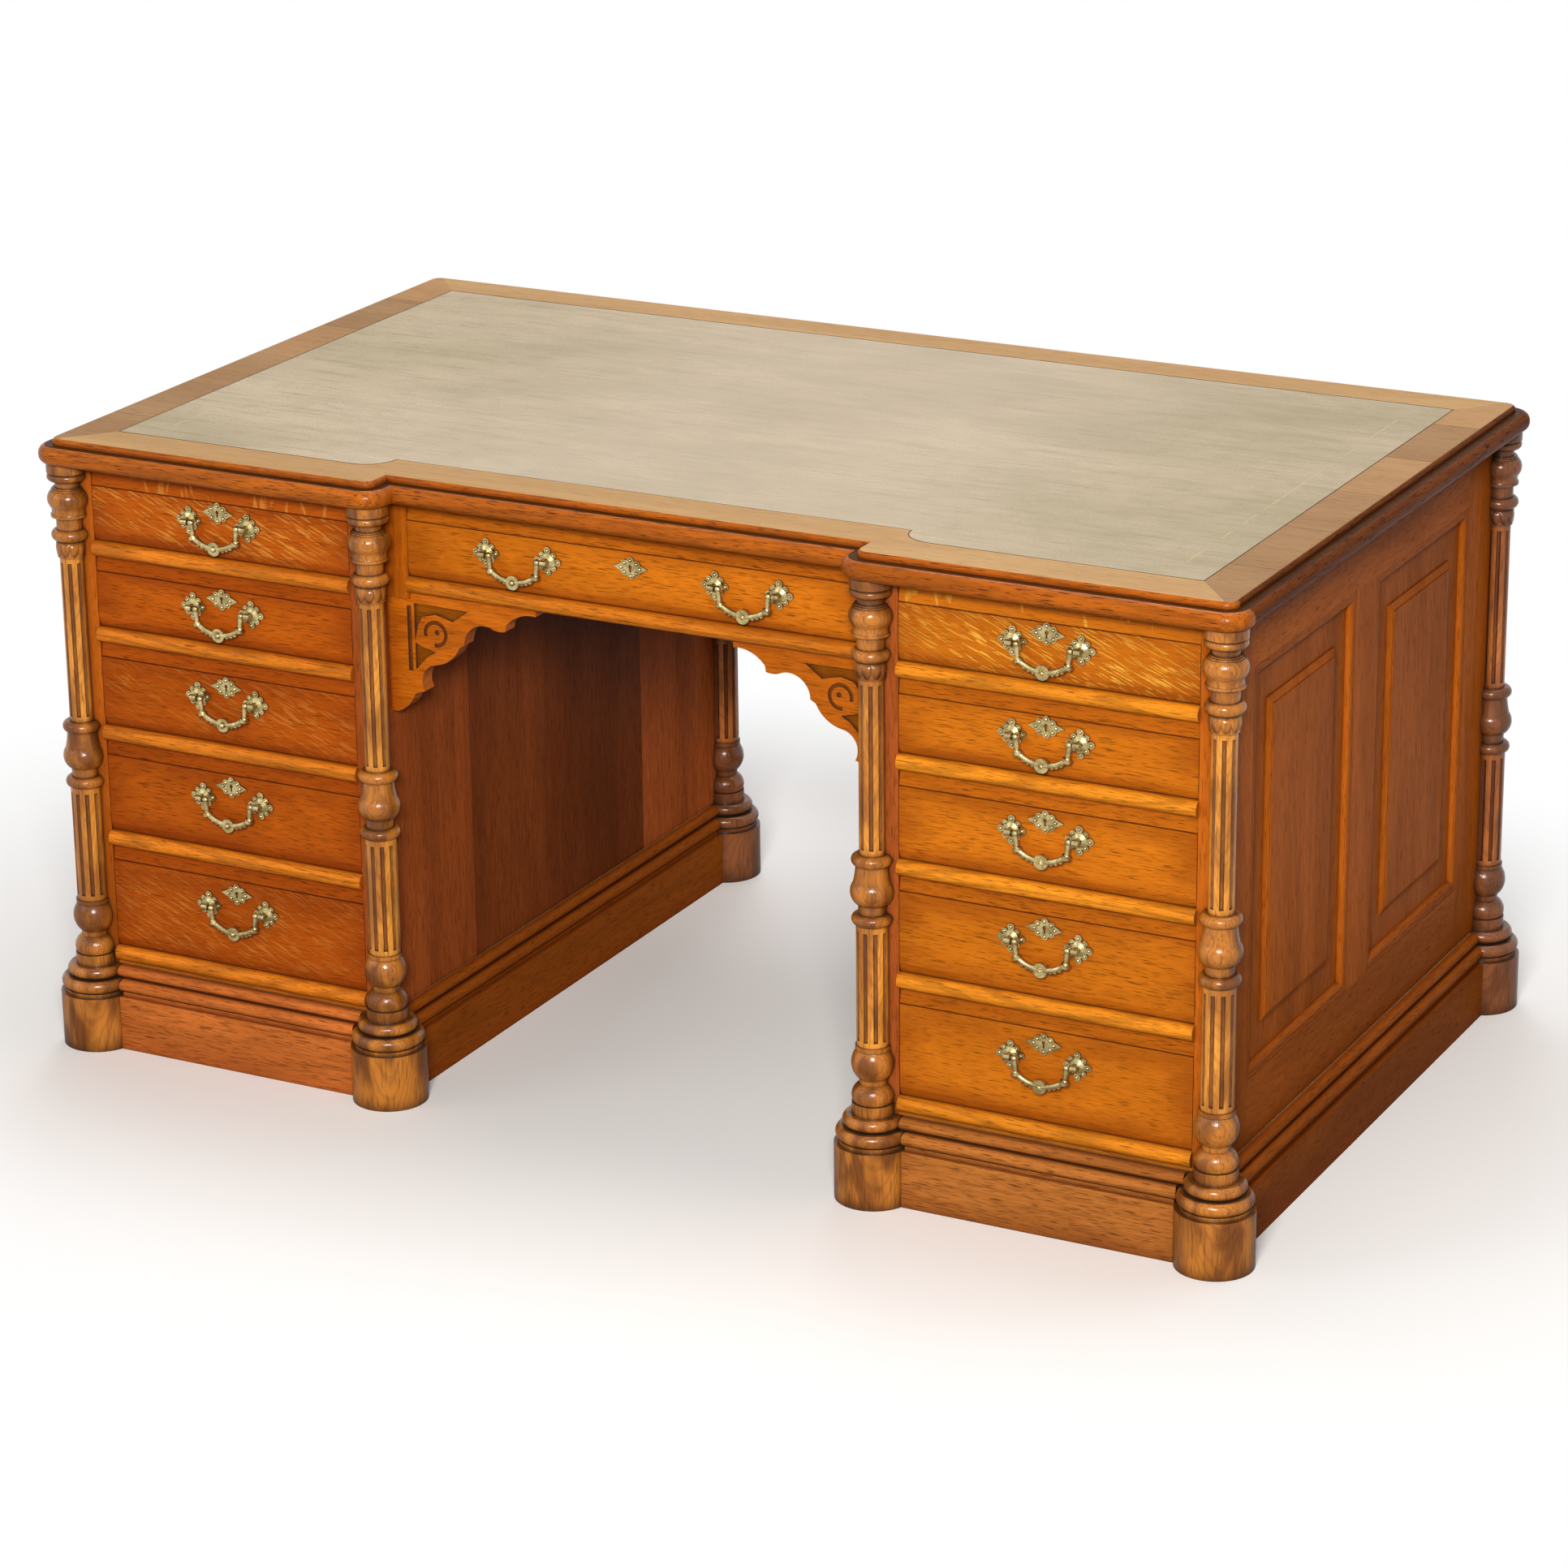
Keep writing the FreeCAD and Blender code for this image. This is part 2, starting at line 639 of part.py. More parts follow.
def make_rails():
    pieces = []
    for number in range(1, 6):
        level = f"rail_z_{number}"
        parts = [board(f"rail_board_{number}", ("bay_width", "rail_depth - torus_set", "rail_height"),
                       ("bay_low", "bay_front + torus_set", level)),
                 half_round(f"rail_round_{number}", "bay_low", "bay_width", "bay_front", level)]
        if number == 5:
            parts.append(board("rail_bed", ("bay_width", "rail_depth", "bed_fillet"),
                               ("bay_low", "bay_front", "base_top")))
        pieces.append(fused(f"rail_{number}", parts))
        length = "face_y - rail_depth + partition_y"
        for side, x in (("knee", "bay_low"), ("end", "bay_high - runner_width")):
            pieces.append(board(f"runner_{side}_{number}", ("runner_width", length, "runner_height"),
                                (x, "bay_front + rail_depth", f"drawer_z_{number} - runner_height")))
    top = ("bay_width", "rail_depth", "top_rail_height")
    pieces.append(board("rail_top_front", top, ("bay_low", "bay_front", "rail_z_0")))
    pieces.append(board("rail_top_back", top, ("bay_low", "face_y - rail_depth", "rail_z_0")))
    back = [board("back_rail_board", ("bay_width", "rail_depth - torus_set", "rail_height"),
                  ("bay_low", "face_y - rail_depth", "rail_z_5")),
            rod("back_rail_round", "rail_height / 2", "bay_width",
                ("bay_low", "face_y - torus_set", "rail_z_5 + rail_height / 2"), ALONG_X),
            board("back_rail_bed", ("bay_width", "rail_depth", "bed_fillet"),
                  ("bay_low", "face_y - rail_depth", "base_top"))]
    pieces.append(fused("back_rail", back))
    pair("drawer_rails", pieces)


# Frieze over the kneehole: stiles, half round rail, drawer bearers and a back board

def make_frieze():
    stile = ("frieze_stile", "frieze_stile_depth", "under_top - rail_z_1 + frieze_stile_drop")
    level = "rail_z_1 - frieze_stile_drop"
    pieces = [board("frieze_stile_right", stile, ("frieze_x", "centre_front", level)),
              board("frieze_stile_left", stile, ("0 - knee_x", "centre_front", level))]
    front = [board("frieze_rail_board", ("2 * frieze_x", "rail_depth - torus_set", "rail_height"),
                   ("0 - frieze_x", "centre_front + torus_set", "rail_z_1")),
             half_round("frieze_rail_round", "0 - frieze_x", "2 * frieze_x", "centre_front", "rail_z_1")]
    pieces.append(fused("frieze_rail", front))
    pieces.append(board("frieze_top_rail", ("2 * frieze_x", "rail_depth", "top_rail_height"),
                        ("0 - frieze_x", "centre_front", "rail_z_0")))
    bearer = ("bearer_width", "2 * centre_y - frieze_back - rail_depth", "rail_height")
    behind = "centre_front + rail_depth"
    pieces.append(board("bearer_right", bearer, ("knee_x - bearer_width", behind, "rail_z_1")))
    pieces.append(board("bearer_left", bearer, ("0 - knee_x", behind, "rail_z_1")))
    back = [board("frieze_back_board", ("2 * knee_x", "frieze_back", "under_top - rail_z_1"),
                  ("0 - knee_x", "centre_y - frieze_back", "rail_z_1")),
            rod("frieze_back_round", "rail_height / 2", "2 * knee_x",
                ("0 - knee_x", "centre_y - torus_set", "rail_z_1 + rail_height / 2"), ALONG_X)]
    pieces.append(fused("frieze_back_panel", back))
    node("frieze_frame", pieces)


# Carved corbels under the frieze, in a cusped outline

def corbel_point(along, down):
    """A point of the right-hand corbel, measured from the pedestal and down from the rail."""
    scale_x = size("corbel_reach") / 204.0
    scale_z = size("corbel_drop") / 152.0
    return Vector(size("knee_x") - along * scale_x, 0, size("rail_z_1") - down * scale_z)


def corbel_line(start, end):
    return Part.makeLine(corbel_point(*start), corbel_point(*end))


def corbel_arc(start, middle, end):
    return Part.Arc(corbel_point(*start), corbel_point(*middle), corbel_point(*end)).toShape()


def corbel_outline():
    edges = [corbel_line((0, 0), (204, 0)), corbel_line((204, 0), (204, 8)),
             corbel_arc((204, 8), (179, 12), (163, 25)), corbel_line((163, 25), (162, 32)),
             corbel_arc((162, 32), (151, 33), (141, 30)), corbel_arc((141, 30), (117, 34), (105, 57)),
             corbel_line((105, 57), (98, 61)), corbel_arc((98, 61), (85, 78), (65, 87)),
             corbel_arc((65, 87), (46, 103), (48, 122)), corbel_line((48, 122), (34, 127)),
             corbel_arc((34, 127), (26, 141), (10, 152)), corbel_line((10, 152), (0, 152)),
             corbel_line((0, 152), (0, 0))]
    return Part.Face(Part.Wire(edges))


def corbel_carving():
    """Sunk grounds round the scroll: an upright slot, two three-cornered grounds and the scroll's channel."""
    deep = Vector(0, size("carving_depth"), 0)
    grounds = []
    for corners in (((27, 17), (33, 17), (33, 98), (27, 98)),
                    ((37, 13), (112, 14), (90, 30), (83, 28), (66, 24), (48, 29), (42, 40), (37, 60)),
                    ((37, 62), (46, 66), (66, 71), (54, 78), (37, 96))):
        corners = [corbel_point(*corner) for corner in corners]
        grounds.append(Part.Face(Part.makePolygon(corners + corners[:1])).extrude(deep))
    centre = corbel_point(66, 48)
    facing = Vector(0, 1, 0)
    outer = Part.makeCylinder(16.5, deep.y * 0.7, centre, facing)
    inner = Part.makeCylinder(11.8, deep.y * 0.7, centre, facing)
    eye = Part.makeCylinder(3.2, deep.y * 0.7, corbel_point(68, 46), facing)
    tail = solid_box((centre.x + 2, 0, centre.z - 17), (centre.x + 17, deep.y * 0.7, centre.z - 4))
    grounds.append(outer.cut([inner, tail]))
    grounds.append(eye)
    return grounds


def make_corbels():
    blank = corbel_outline().extrude(Vector(0, size("corbel_thickness"), 0))
    stile = solid_box((size("frieze_x"), 0, size("rail_z_1") - size("frieze_stile_drop")),
                      (size("knee_x"), size("corbel_thickness"), size("rail_z_1")))
    front = size("corbel_setback") - size("centre_y")
    pair("corbel", [shaped("corbel_solid", blank.cut(corbel_carving() + [stile]), (0, front, 0))])


# Drawers: a front with a sloped top strip and a bevelled foot, on a plain box

def drawer_pieces(name, width, height, depth):
    """The solids of one drawer, from the middle of the foot of its front face."""
    half = width / 2
    thick = size("front_thickness")
    strip = size("strip_height")
    bevel = size("bevel_depth")
    field_top = height - strip
    ledge = field_top - size("strip_groove")
    sunk = size("strip_groove_depth")
    field = prism([(-half, bevel, 0), (-half, 0, size("bevel_height")), (-half, 0, ledge), (-half, sunk, ledge),
                   (-half, sunk, field_top), (-half, thick, field_top), (-half, thick, 0)], (width, 0, 0))
    top = prism([(-half, 0.6, field_top), (-half, size("strip_slope"), height), (-half, thick, height),
                 (-half, thick, field_top)], (width, 0, 0))
    wall = size("box_board")
    wall_top = height - size("box_drop")
    floor = size("box_bottom_lift")
    sides = [solid_box((x, thick, 0), (x + wall, depth, wall_top)) for x in (-half, half - wall)]
    rear = solid_box((wall - half, depth - wall, floor + size("box_bottom")), (half - wall, depth, wall_top))
    base = solid_box((wall - half, thick, floor), (half - wall, depth, floor + size("box_bottom")))
    names = ("field", "strip", "side_a", "side_b", "rear", "base")
    return [shaped(f"{name}_{label}", shape) for label, shape in zip(names, [field, top] + sides + [rear, base])]


def make_drawers():
    gap = size("drawer_gap")
    width = size("bay_width") - 2 * gap
    for number in range(1, 6):
        height = size(f"drawer_{number}") - 2 * gap
        pieces = drawer_pieces(f"bay_drawer_{number}", width, height, size("drawer_depth"))
        right = node(f"drawer_right_{number}", pieces,
                     ("bay_middle", "bay_front", f"drawer_z_{number} + drawer_gap"))
        mirrored(f"drawer_left_{number}", right)
    pieces = drawer_pieces("centre_drawer", 2 * (size("frieze_x") - gap), size("drawer_1") - 2 * gap,
                           size("centre_depth"))
    node("drawer_centre", pieces, ("0", "centre_front", "drawer_z_1 + drawer_gap"))


# Brass fittings: foliate rosettes with pivot studs, and an escutcheon with a keyhole

def disc(radius, thickness, x, z):
    return Part.makeCylinder(radius, thickness, Vector(x, 0, z), Vector(0, -1, 0))


def behind_face(reach):
    """The space behind a drawer's face, which keeps the backs of its fittings flat."""
    return solid_box((-2 * reach, 0, -2 * reach), (2 * reach, reach, 2 * reach))


def rosette():
    """A lobed diamond plate with beads, and a stud whose drum is bored for the bail's pin."""
    reach = size("rosette_reach")
    thick = size("rosette_thickness")
    tip = reach * 0.24
    plate = prism([(reach - tip, 0, 0), (0, 0, reach - tip), (tip - reach, 0, 0), (0, 0, tip - reach)],
                  (0, -thick, 0))
    pieces = []
    for step in range(8):
        angle = math.pi * step / 4
        far = reach - tip if step % 2 == 0 else reach * 0.62
        x = far * math.cos(angle)
        z = far * math.sin(angle)
        lobe = tip if step % 2 == 0 else tip * 0.85
        pieces.append(disc(lobe, thick, x, z))
        pieces.append(Part.makeSphere(lobe * 0.5, Vector(x, -thick, z)))
    pieces.append(Part.makeCone(reach * 0.5, size("stud_radius"), thick, Vector(0, -thick, 0), Vector(0, -1, 0)))
    stand = size("pivot_stand")
    pieces.append(Part.makeCylinder(size("stud_radius") * 0.8, stand, Vector(0, 0, 0), Vector(0, -1, 0)))
    drum = size("stud_radius")
    pieces.append(Part.makeCylinder(drum, 2 * drum, Vector(-drum, -stand, 0), Vector(1, 0, 0)))
    return plate.fuse(pieces).cut(behind_face(reach))


def bored_rosette(side):
    """The rosette of one side, bored from the middle of the handle."""
    bore = size("pin_radius") + size("pin_clearance")
    start = Vector(-side * size("stud_radius") * 1.5, -size("pivot_stand"), 0)
    hole = Part.makeCylinder(bore, size("stud_radius") * 2, start, Vector(side, 0, 0))
    return rosette().cut(hole)


def escutcheon():
    """A cross of leaves with a keyhole through its middle."""
    half_x = size("escutcheon_width") / 2
    half_z = size("escutcheon_height") / 2
    thick = size("escutcheon_thickness")
    plate = prism([(half_x, 0, 0), (half_x * 0.3, 0, half_z * 0.55), (0, 0, half_z), (-half_x * 0.3, 0, half_z * 0.55),
                   (-half_x, 0, 0), (-half_x * 0.3, 0, -half_z * 0.55), (0, 0, -half_z),
                   (half_x * 0.3, 0, -half_z * 0.55)], (0, -thick, 0))
    leaf = half_z * 0.3
    pieces = []
    for x, z in ((half_x * 0.55, 0), (-half_x * 0.55, 0), (0, half_z * 0.72), (0, -half_z * 0.72),
                 (half_x * 0.36, half_z * 0.42), (-half_x * 0.36, half_z * 0.42),
                 (half_x * 0.36, -half_z * 0.42), (-half_x * 0.36, -half_z * 0.42)):
        pieces.append(disc(leaf, thick, x, z))
        pieces.append(Part.makeSphere(leaf * 0.6, Vector(x, -thick, z)))
    bow = disc(half_z * 0.17, thick * 3, 0, half_z * 0.12)
    slot = solid_box((-half_z * 0.08, -thick * 3, -half_z * 0.4), (half_z * 0.08, 0, half_z * 0.12))
    return plate.fuse(pieces).cut([bow, slot, behind_face(half_x)])


def handle_level(number):
    """Height of a handle's pivots above the foot of its drawer front."""
    height = size(f"drawer_{number}")
    return height - size("drawer_gap") - size("rosette_drop") - size("rosette_share") * height


def escutcheon_level(number):
    lift = size("escutcheon_lift") + 0.15 * (size(f"drawer_{number}") - size("drawer_1"))
    return handle_level(number) + lift


def make_fittings():
    right_rosette = bored_rosette(1)
    left_rosette = bored_rosette(-1)
    plate = escutcheon()
    spread = size("rosette_spread")

    def handle(name, x, level):
        return [shaped(f"{name}_a", right_rosette, (x + spread, 0, level)),
                shaped(f"{name}_b", left_rosette, (x - spread, 0, level))]

    for number in range(1, 6):
        pieces = handle(f"rosette_{number}", 0, handle_level(number))
        pieces.append(shaped(f"escutcheon_{number}", plate, (0, 0, escutcheon_level(number))))
        right = node(f"fittings_right_{number}", pieces,
                     ("bay_middle", "bay_front", f"drawer_z_{number} + drawer_gap"))
        mirrored(f"fittings_left_{number}", right)
    pieces = handle("rosette_centre_a", size("centre_handle_x"), handle_level(1))
    pieces += handle("rosette_centre_b", -size("centre_handle_x"), handle_level(1))
    pieces.append(shaped("escutcheon_centre", plate, (0, 0, handle_level(1) + size("escutcheon_lift") / 2)))
    node("fittings_centre", pieces, ("0", "centre_front", "drawer_z_1 + drawer_gap"))


# Drop bails: two arms tied by collars to a bent bar with a beaded edge, a round boss and two pivot pins

def bail():
    top = size("bail_half_span")
    knot = Vector(size("bail_knot_x"), 0, -size("bail_knot_drop"))
    drop = size("bail_drop")
    flip = lambda point: Vector(-point.x, 0, point.z)
    sag = drop - size("bail_knot_drop")
    bend = (knot.x ** 2 + sag ** 2) / (2 * sag)
    centre = Vector(0, 0, bend - drop)

    def on_bar(x, reach):
        """A point beside the bar's line, outside its bend."""
        lean = math.asin(x / bend)
        return centre + Vector(math.sin(lean), 0, -math.cos(lean)) * (bend + reach)

    path = Part.Wire([Part.Arc(knot, Vector(0, 0, -drop), flip(knot)).toShape()])
    tangent = Vector(centre.z - knot.z, 0, knot.x).normalize()
    section = Part.Wire([Part.makeCircle(size("bail_radius"), knot, tangent)])
    bar = path.makePipeShell([section], True, True)
    pieces = []
    pin_end = size("rosette_spread") - size("pin_clearance")
    for side in (-1, 1):
        eye = Vector(side * top, 0, 0)
        tie = Vector(side * knot.x, 0, knot.z)
        arm = tie - eye
        pieces.append(Part.makeSphere(size("arm_radius") * 1.2, eye))
        pieces.append(Part.makeCylinder(size("pin_radius"), pin_end - top, eye, Vector(side, 0, 0)))
        pieces.append(Part.makeCone(size("arm_radius"), size("arm_radius") * 0.8, arm.Length, eye, arm))
        pieces.append(Part.makeSphere(size("bail_radius") * 1.05, tie))
        lean = Vector(side * (arm.x * side - 6), 0, arm.z - 4).normalize()
        pieces.append(Part.makeCylinder(size("collar_bead"), size("collar_bead") * 0.7, tie - lean, lean))
        for step in range(3):
            place = on_bar(side * (size("boss_radius") + size("bead_radius") * (0.9 + 1.95 * step)),
                           size("bail_radius") * 0.75)
            pieces.append(Part.makeSphere(size("bead_radius"), place))
    depth = size("boss_thickness")
    pieces.append(Part.makeCylinder(size("boss_radius"), depth, Vector(0, depth / 2, -drop), Vector(0, -1, 0)))
    pieces.append(Part.makeSphere(size("boss_radius") * 0.45, Vector(0, -depth / 2, -drop)))
    return bar.fuse(pieces)


def make_bails():
    shape = bail()
    for number in range(1, 6):
        level = size(f"drawer_z_{number}") + size("drawer_gap") + handle_level(number)
        right = node(f"bail_right_{number}", [shaped(f"bail_bar_{number}", shape)])
        right.Placement = FreeCAD.Placement(Vector(size("bay_middle"), -size("face_y") - size("pivot_stand"), level),
                                            FreeCAD.Rotation())
        mirrored(f"bail_left_{number}", right)
    level = size("drawer_z_1") + size("drawer_gap") + handle_level(1)
    right = node("bail_centre_right", [shaped("bail_bar_centre", shape)])
    right.Placement = FreeCAD.Placement(Vector(size("centre_handle_x"), -size("centre_y") - size("pivot_stand"), level),
                                        FreeCAD.Rotation())
    mirrored("bail_centre_left", right)


# Cupboard doors at the back, with butt hinges, a turned knob and an escutcheon

def hinge_levels():
    low = size("drawer_z_5") + size("door_gap") + size("hinge_inset")
    high = size("rail_z_0") - size("door_gap") - size("hinge_inset") - size("hinge_height")
    return (low, high)


def hinge_half(level, fixed):
    """Half a butt hinge: a leaf and its knuckles, with the pin on the fixed half."""
    axis_x = size("bay_high") - size("hinge_gap") / 2
    axis_y = size("face_y") + size("knuckle_stand")
    leaf = size("hinge_leaf")
    x_low = size("bay_high") - leaf if fixed else size("bay_high") - size("hinge_gap")
    leaf_low = size("face_y") - size("hinge_leaf_depth")
    height = size("hinge_height")
    plate = solid_box((x_low, leaf_low, level), (x_low + leaf, size("face_y"), level + height))
    third = height / 3
    gap = size("fit_gap")
    spans = ((0, third - gap), (2 * third + gap, height)) if fixed else ((third, 2 * third),)
    pieces = []
    for low, high in spans:
        foot = Vector(axis_x, axis_y, level + low)
        pieces.append(Part.makeCylinder(size("knuckle_radius"), high - low, foot))
        pieces.append(solid_box((x_low, size("face_y") - 1, level + low), (x_low + leaf, axis_y, level + high)))
    pin = size("hinge_pin_radius")
    foot = Vector(axis_x, axis_y, level)
    if fixed:
        pieces.append(Part.makeCylinder(pin, height, foot))
        return plate.fuse(pieces).removeSplitter()
    bore = Part.makeCylinder(pin + size("pin_clearance"), height, foot)
    return plate.fuse(pieces).removeSplitter().cut(bore)


def knob():
    """A turned knob on a stem, standing on its base plate."""
    radius = size("knob_radius")
    stand = size("knob_stand")
    outline = [Vector(0, 0, 0), Vector(radius, 0, 0), Vector(radius, 0, 2), Vector(radius * 0.4, 0, 3.5),
               Vector(radius * 0.4, 0, stand * 0.45), Vector(radius * 0.7, 0, stand * 0.55)]
    brow = Vector(radius * 0.7, 0, stand)
    crest = Vector(0, 0, stand)
    edges = [Part.makeLine(a, b) for a, b in zip(outline, outline[1:])]
    edges.append(Part.Arc(outline[-1], Vector(radius, 0, stand * 0.78), brow).toShape())
    edges.append(Part.makeLine(brow, crest))
    edges.append(Part.makeLine(crest, outline[0]))
    return Part.Face(Part.Wire(edges)).revolve(Vector(0, 0, 0), Vector(0, 0, 1), 360)


def make_doors():
    low = size("drawer_z_5") + size("door_gap")
    high = size("rail_z_0") - size("door_gap")
    x_low = size("bay_low") + size("door_gap")
    x_high = size("bay_high") - size("hinge_gap")
    stile = size("door_stile")
    back = size("face_y")
    front = back - size("door_thickness")
    door = [solid_box((x_low, front, low), (x_low + stile, back, high)),
            solid_box((x_high - stile, front, low), (x_high, back, high)),
            solid_box((x_low + stile, front, low), (x_high - stile, back, low + stile)),
            solid_box((x_low + stile, front, high - stile), (x_high - stile, back, high))]
    # The panel is shaped along X and turned to face the back
    half = (x_high - x_low) / 2 - stile
    panel = raised_panel(-half, half, low + stile, high - stile, 0)
    bead = bead_ring(-half, half, low + stile, high - stile, size("panel_board"))
    seat = ((x_low + x_high) / 2, front + 1, 0)
    names = ("lock_stile", "hinge_stile", "low_rail", "top_rail")
    pieces = [shaped(f"door_{name}", shape) for name, shape in zip(names, door)]
    pieces.append(shaped("door_panel", panel, seat, QUARTER_TURN))
    pieces.append(shaped("door_bead", bead, seat, QUARTER_TURN))
    pair("door", pieces)
    middle = (low + high) / 2
    lock_x = x_low + stile / 2
    fittings = [shaped("door_knob", knob(), (lock_x, back, middle + 60), ALONG_Y),
                shaped("door_escutcheon", escutcheon(), (lock_x, back, middle), HALF_TURN)]
    for count, level in enumerate(hinge_levels()):
        fittings.append(shaped(f"hinge_moving_{count}", hinge_half(level, False)))
    pair("door_fittings", fittings)
    fixed = []
    for count, level in enumerate(hinge_levels()):
        right = shaped(f"hinge_fixed_{count}", hinge_half(level, True))
        left = doc.addObject("Part::Mirroring", f"hinge_fixed_left_{count}")
        left.Source = right
        left.Normal = (1, 0, 0)
        fixed += [right, left]
    node("door_hinges", fixed)


make_top()
make_ends()
make_carcass()
make_plinth()
make_posts()
make_rails()
make_frieze()
make_corbels()
make_drawers()
make_fittings()
make_bails()
make_doors()
doc.recompute()

for obj in doc.Objects:
    if "Invalid" in obj.State or "Error" in obj.State:
        raise RuntimeError(f"{obj.Label} failed to build: {obj.State}")
for obj in nodes:
    if obj.Shape.isNull() or not obj.Shape.isValid():
        raise RuntimeError(f"{obj.Label} has no valid shape")

os.makedirs("parts", exist_ok=True)
for obj in nodes:
    obj.Shape.exportStep(f"parts/{obj.Label}.step")
print(len(nodes), "sub-parts, height", size("board_top"))
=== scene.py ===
import math

import bmesh
import bpy
import numpy as np
from mathutils import Matrix, Vector


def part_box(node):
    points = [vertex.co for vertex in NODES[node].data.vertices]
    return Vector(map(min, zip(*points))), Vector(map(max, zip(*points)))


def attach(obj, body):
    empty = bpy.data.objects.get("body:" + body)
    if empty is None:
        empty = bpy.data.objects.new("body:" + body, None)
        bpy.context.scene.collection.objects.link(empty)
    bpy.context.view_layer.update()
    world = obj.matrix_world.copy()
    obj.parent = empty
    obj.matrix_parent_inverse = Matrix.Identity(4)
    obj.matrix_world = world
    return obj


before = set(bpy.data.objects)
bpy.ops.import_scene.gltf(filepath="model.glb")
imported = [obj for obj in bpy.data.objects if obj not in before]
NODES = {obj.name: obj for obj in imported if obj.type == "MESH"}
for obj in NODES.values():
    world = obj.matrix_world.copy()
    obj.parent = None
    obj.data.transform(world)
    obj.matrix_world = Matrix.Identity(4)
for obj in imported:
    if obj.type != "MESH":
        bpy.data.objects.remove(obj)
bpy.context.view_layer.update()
scene = bpy.context.scene


# Materials, as node graphs

class Graph:
    """A material's node tree, with short calls for the nodes used here."""

    def __init__(self, name):
        self.material = bpy.data.materials.new(name)
        self.material.use_nodes = True
        self.tree = self.material.node_tree
        self.shader = self.tree.nodes["Principled BSDF"]

    def node(self, kind, inputs=None, **settings):
        made = self.tree.nodes.new(kind)
        for key, value in settings.items():
            setattr(made, key, value)
        for key, value in (inputs or {}).items():
            self.put(made.inputs[key], value)
        return made

    def put(self, socket, value):
        if isinstance(value, bpy.types.NodeSocket):
            self.tree.links.new(value, socket)
        else:
            socket.default_value = value

    def coords(self, scale, offset=(0, 0, 0)):
        source = self.node("ShaderNodeTexCoord").outputs["Object"]
        placed = self.node("ShaderNodeMapping", {"Vector": source, "Scale": scale, "Location": offset})
        return placed.outputs[0]

    def noise(self, vector, scale, detail=2.0, rough=0.5, distortion=0.0):
        return self.node("ShaderNodeTexNoise", {"Vector": vector, "Scale": scale, "Detail": detail,
                                                "Roughness": rough, "Distortion": distortion}).outputs["Fac"]

    def math(self, operation, a, b=0.0):
        return self.node("ShaderNodeMath", {0: a, 1: b}, operation=operation).outputs[0]

    def times(self, a, b):
        return self.math("MULTIPLY", a, b)

    def part(self, vector, axis):
        return self.node("ShaderNodeSeparateXYZ", {0: vector}).outputs[axis]

    def span(self, value, low, high, to_low=0.0, to_high=1.0):
        """Maps one range smoothly onto another, clamped at both ends."""
        return self.node("ShaderNodeMapRange", {"Value": value, "From Min": low, "From Max": high,
                                                "To Min": to_low, "To Max": to_high},
                         interpolation_type="SMOOTHSTEP").outputs["Result"]

    def mix(self, share, a, b, blend="MIX"):
        made = self.tree.nodes.new("ShaderNodeMix")
        made.data_type = "RGBA"
        made.blend_type = blend
        self.put(made.inputs[0], share)
        self.put(made.inputs[6], a if isinstance(a, bpy.types.NodeSocket) else (*a, 1.0))
        self.put(made.inputs[7], b if isinstance(b, bpy.types.NodeSocket) else (*b, 1.0))
        return made.outputs[2]

    def crevice(self, distance, start=0.72, full=0.25):
        """Nought on open surfaces, one in the corners of grooves and mouldings."""
        found = self.node("ShaderNodeAmbientOcclusion", {"Distance": distance}, samples=6)
        return self.span(found.outputs["AO"], start, full)

    def bump(self, height, strength, distance):
        made = self.node("ShaderNodeBump", {"Height": height, "Strength": strength, "Distance": distance})
        self.put(self.shader.inputs["Normal"], made.outputs[0])


AXES = {"x": 0, "y": 1, "z": 2}
SEAM_WIDTH = 0.0012
GILT_HALF_WIDTH = 0.0012


def scaled(tone, red, green=None, blue=None):
    """A tone times one factor, or times one for each of red, green and blue."""
    green = red if green is None else green
    blue = green if blue is None else blue
    return tone[0] * red, tone[1] * green, tone[2] * blue


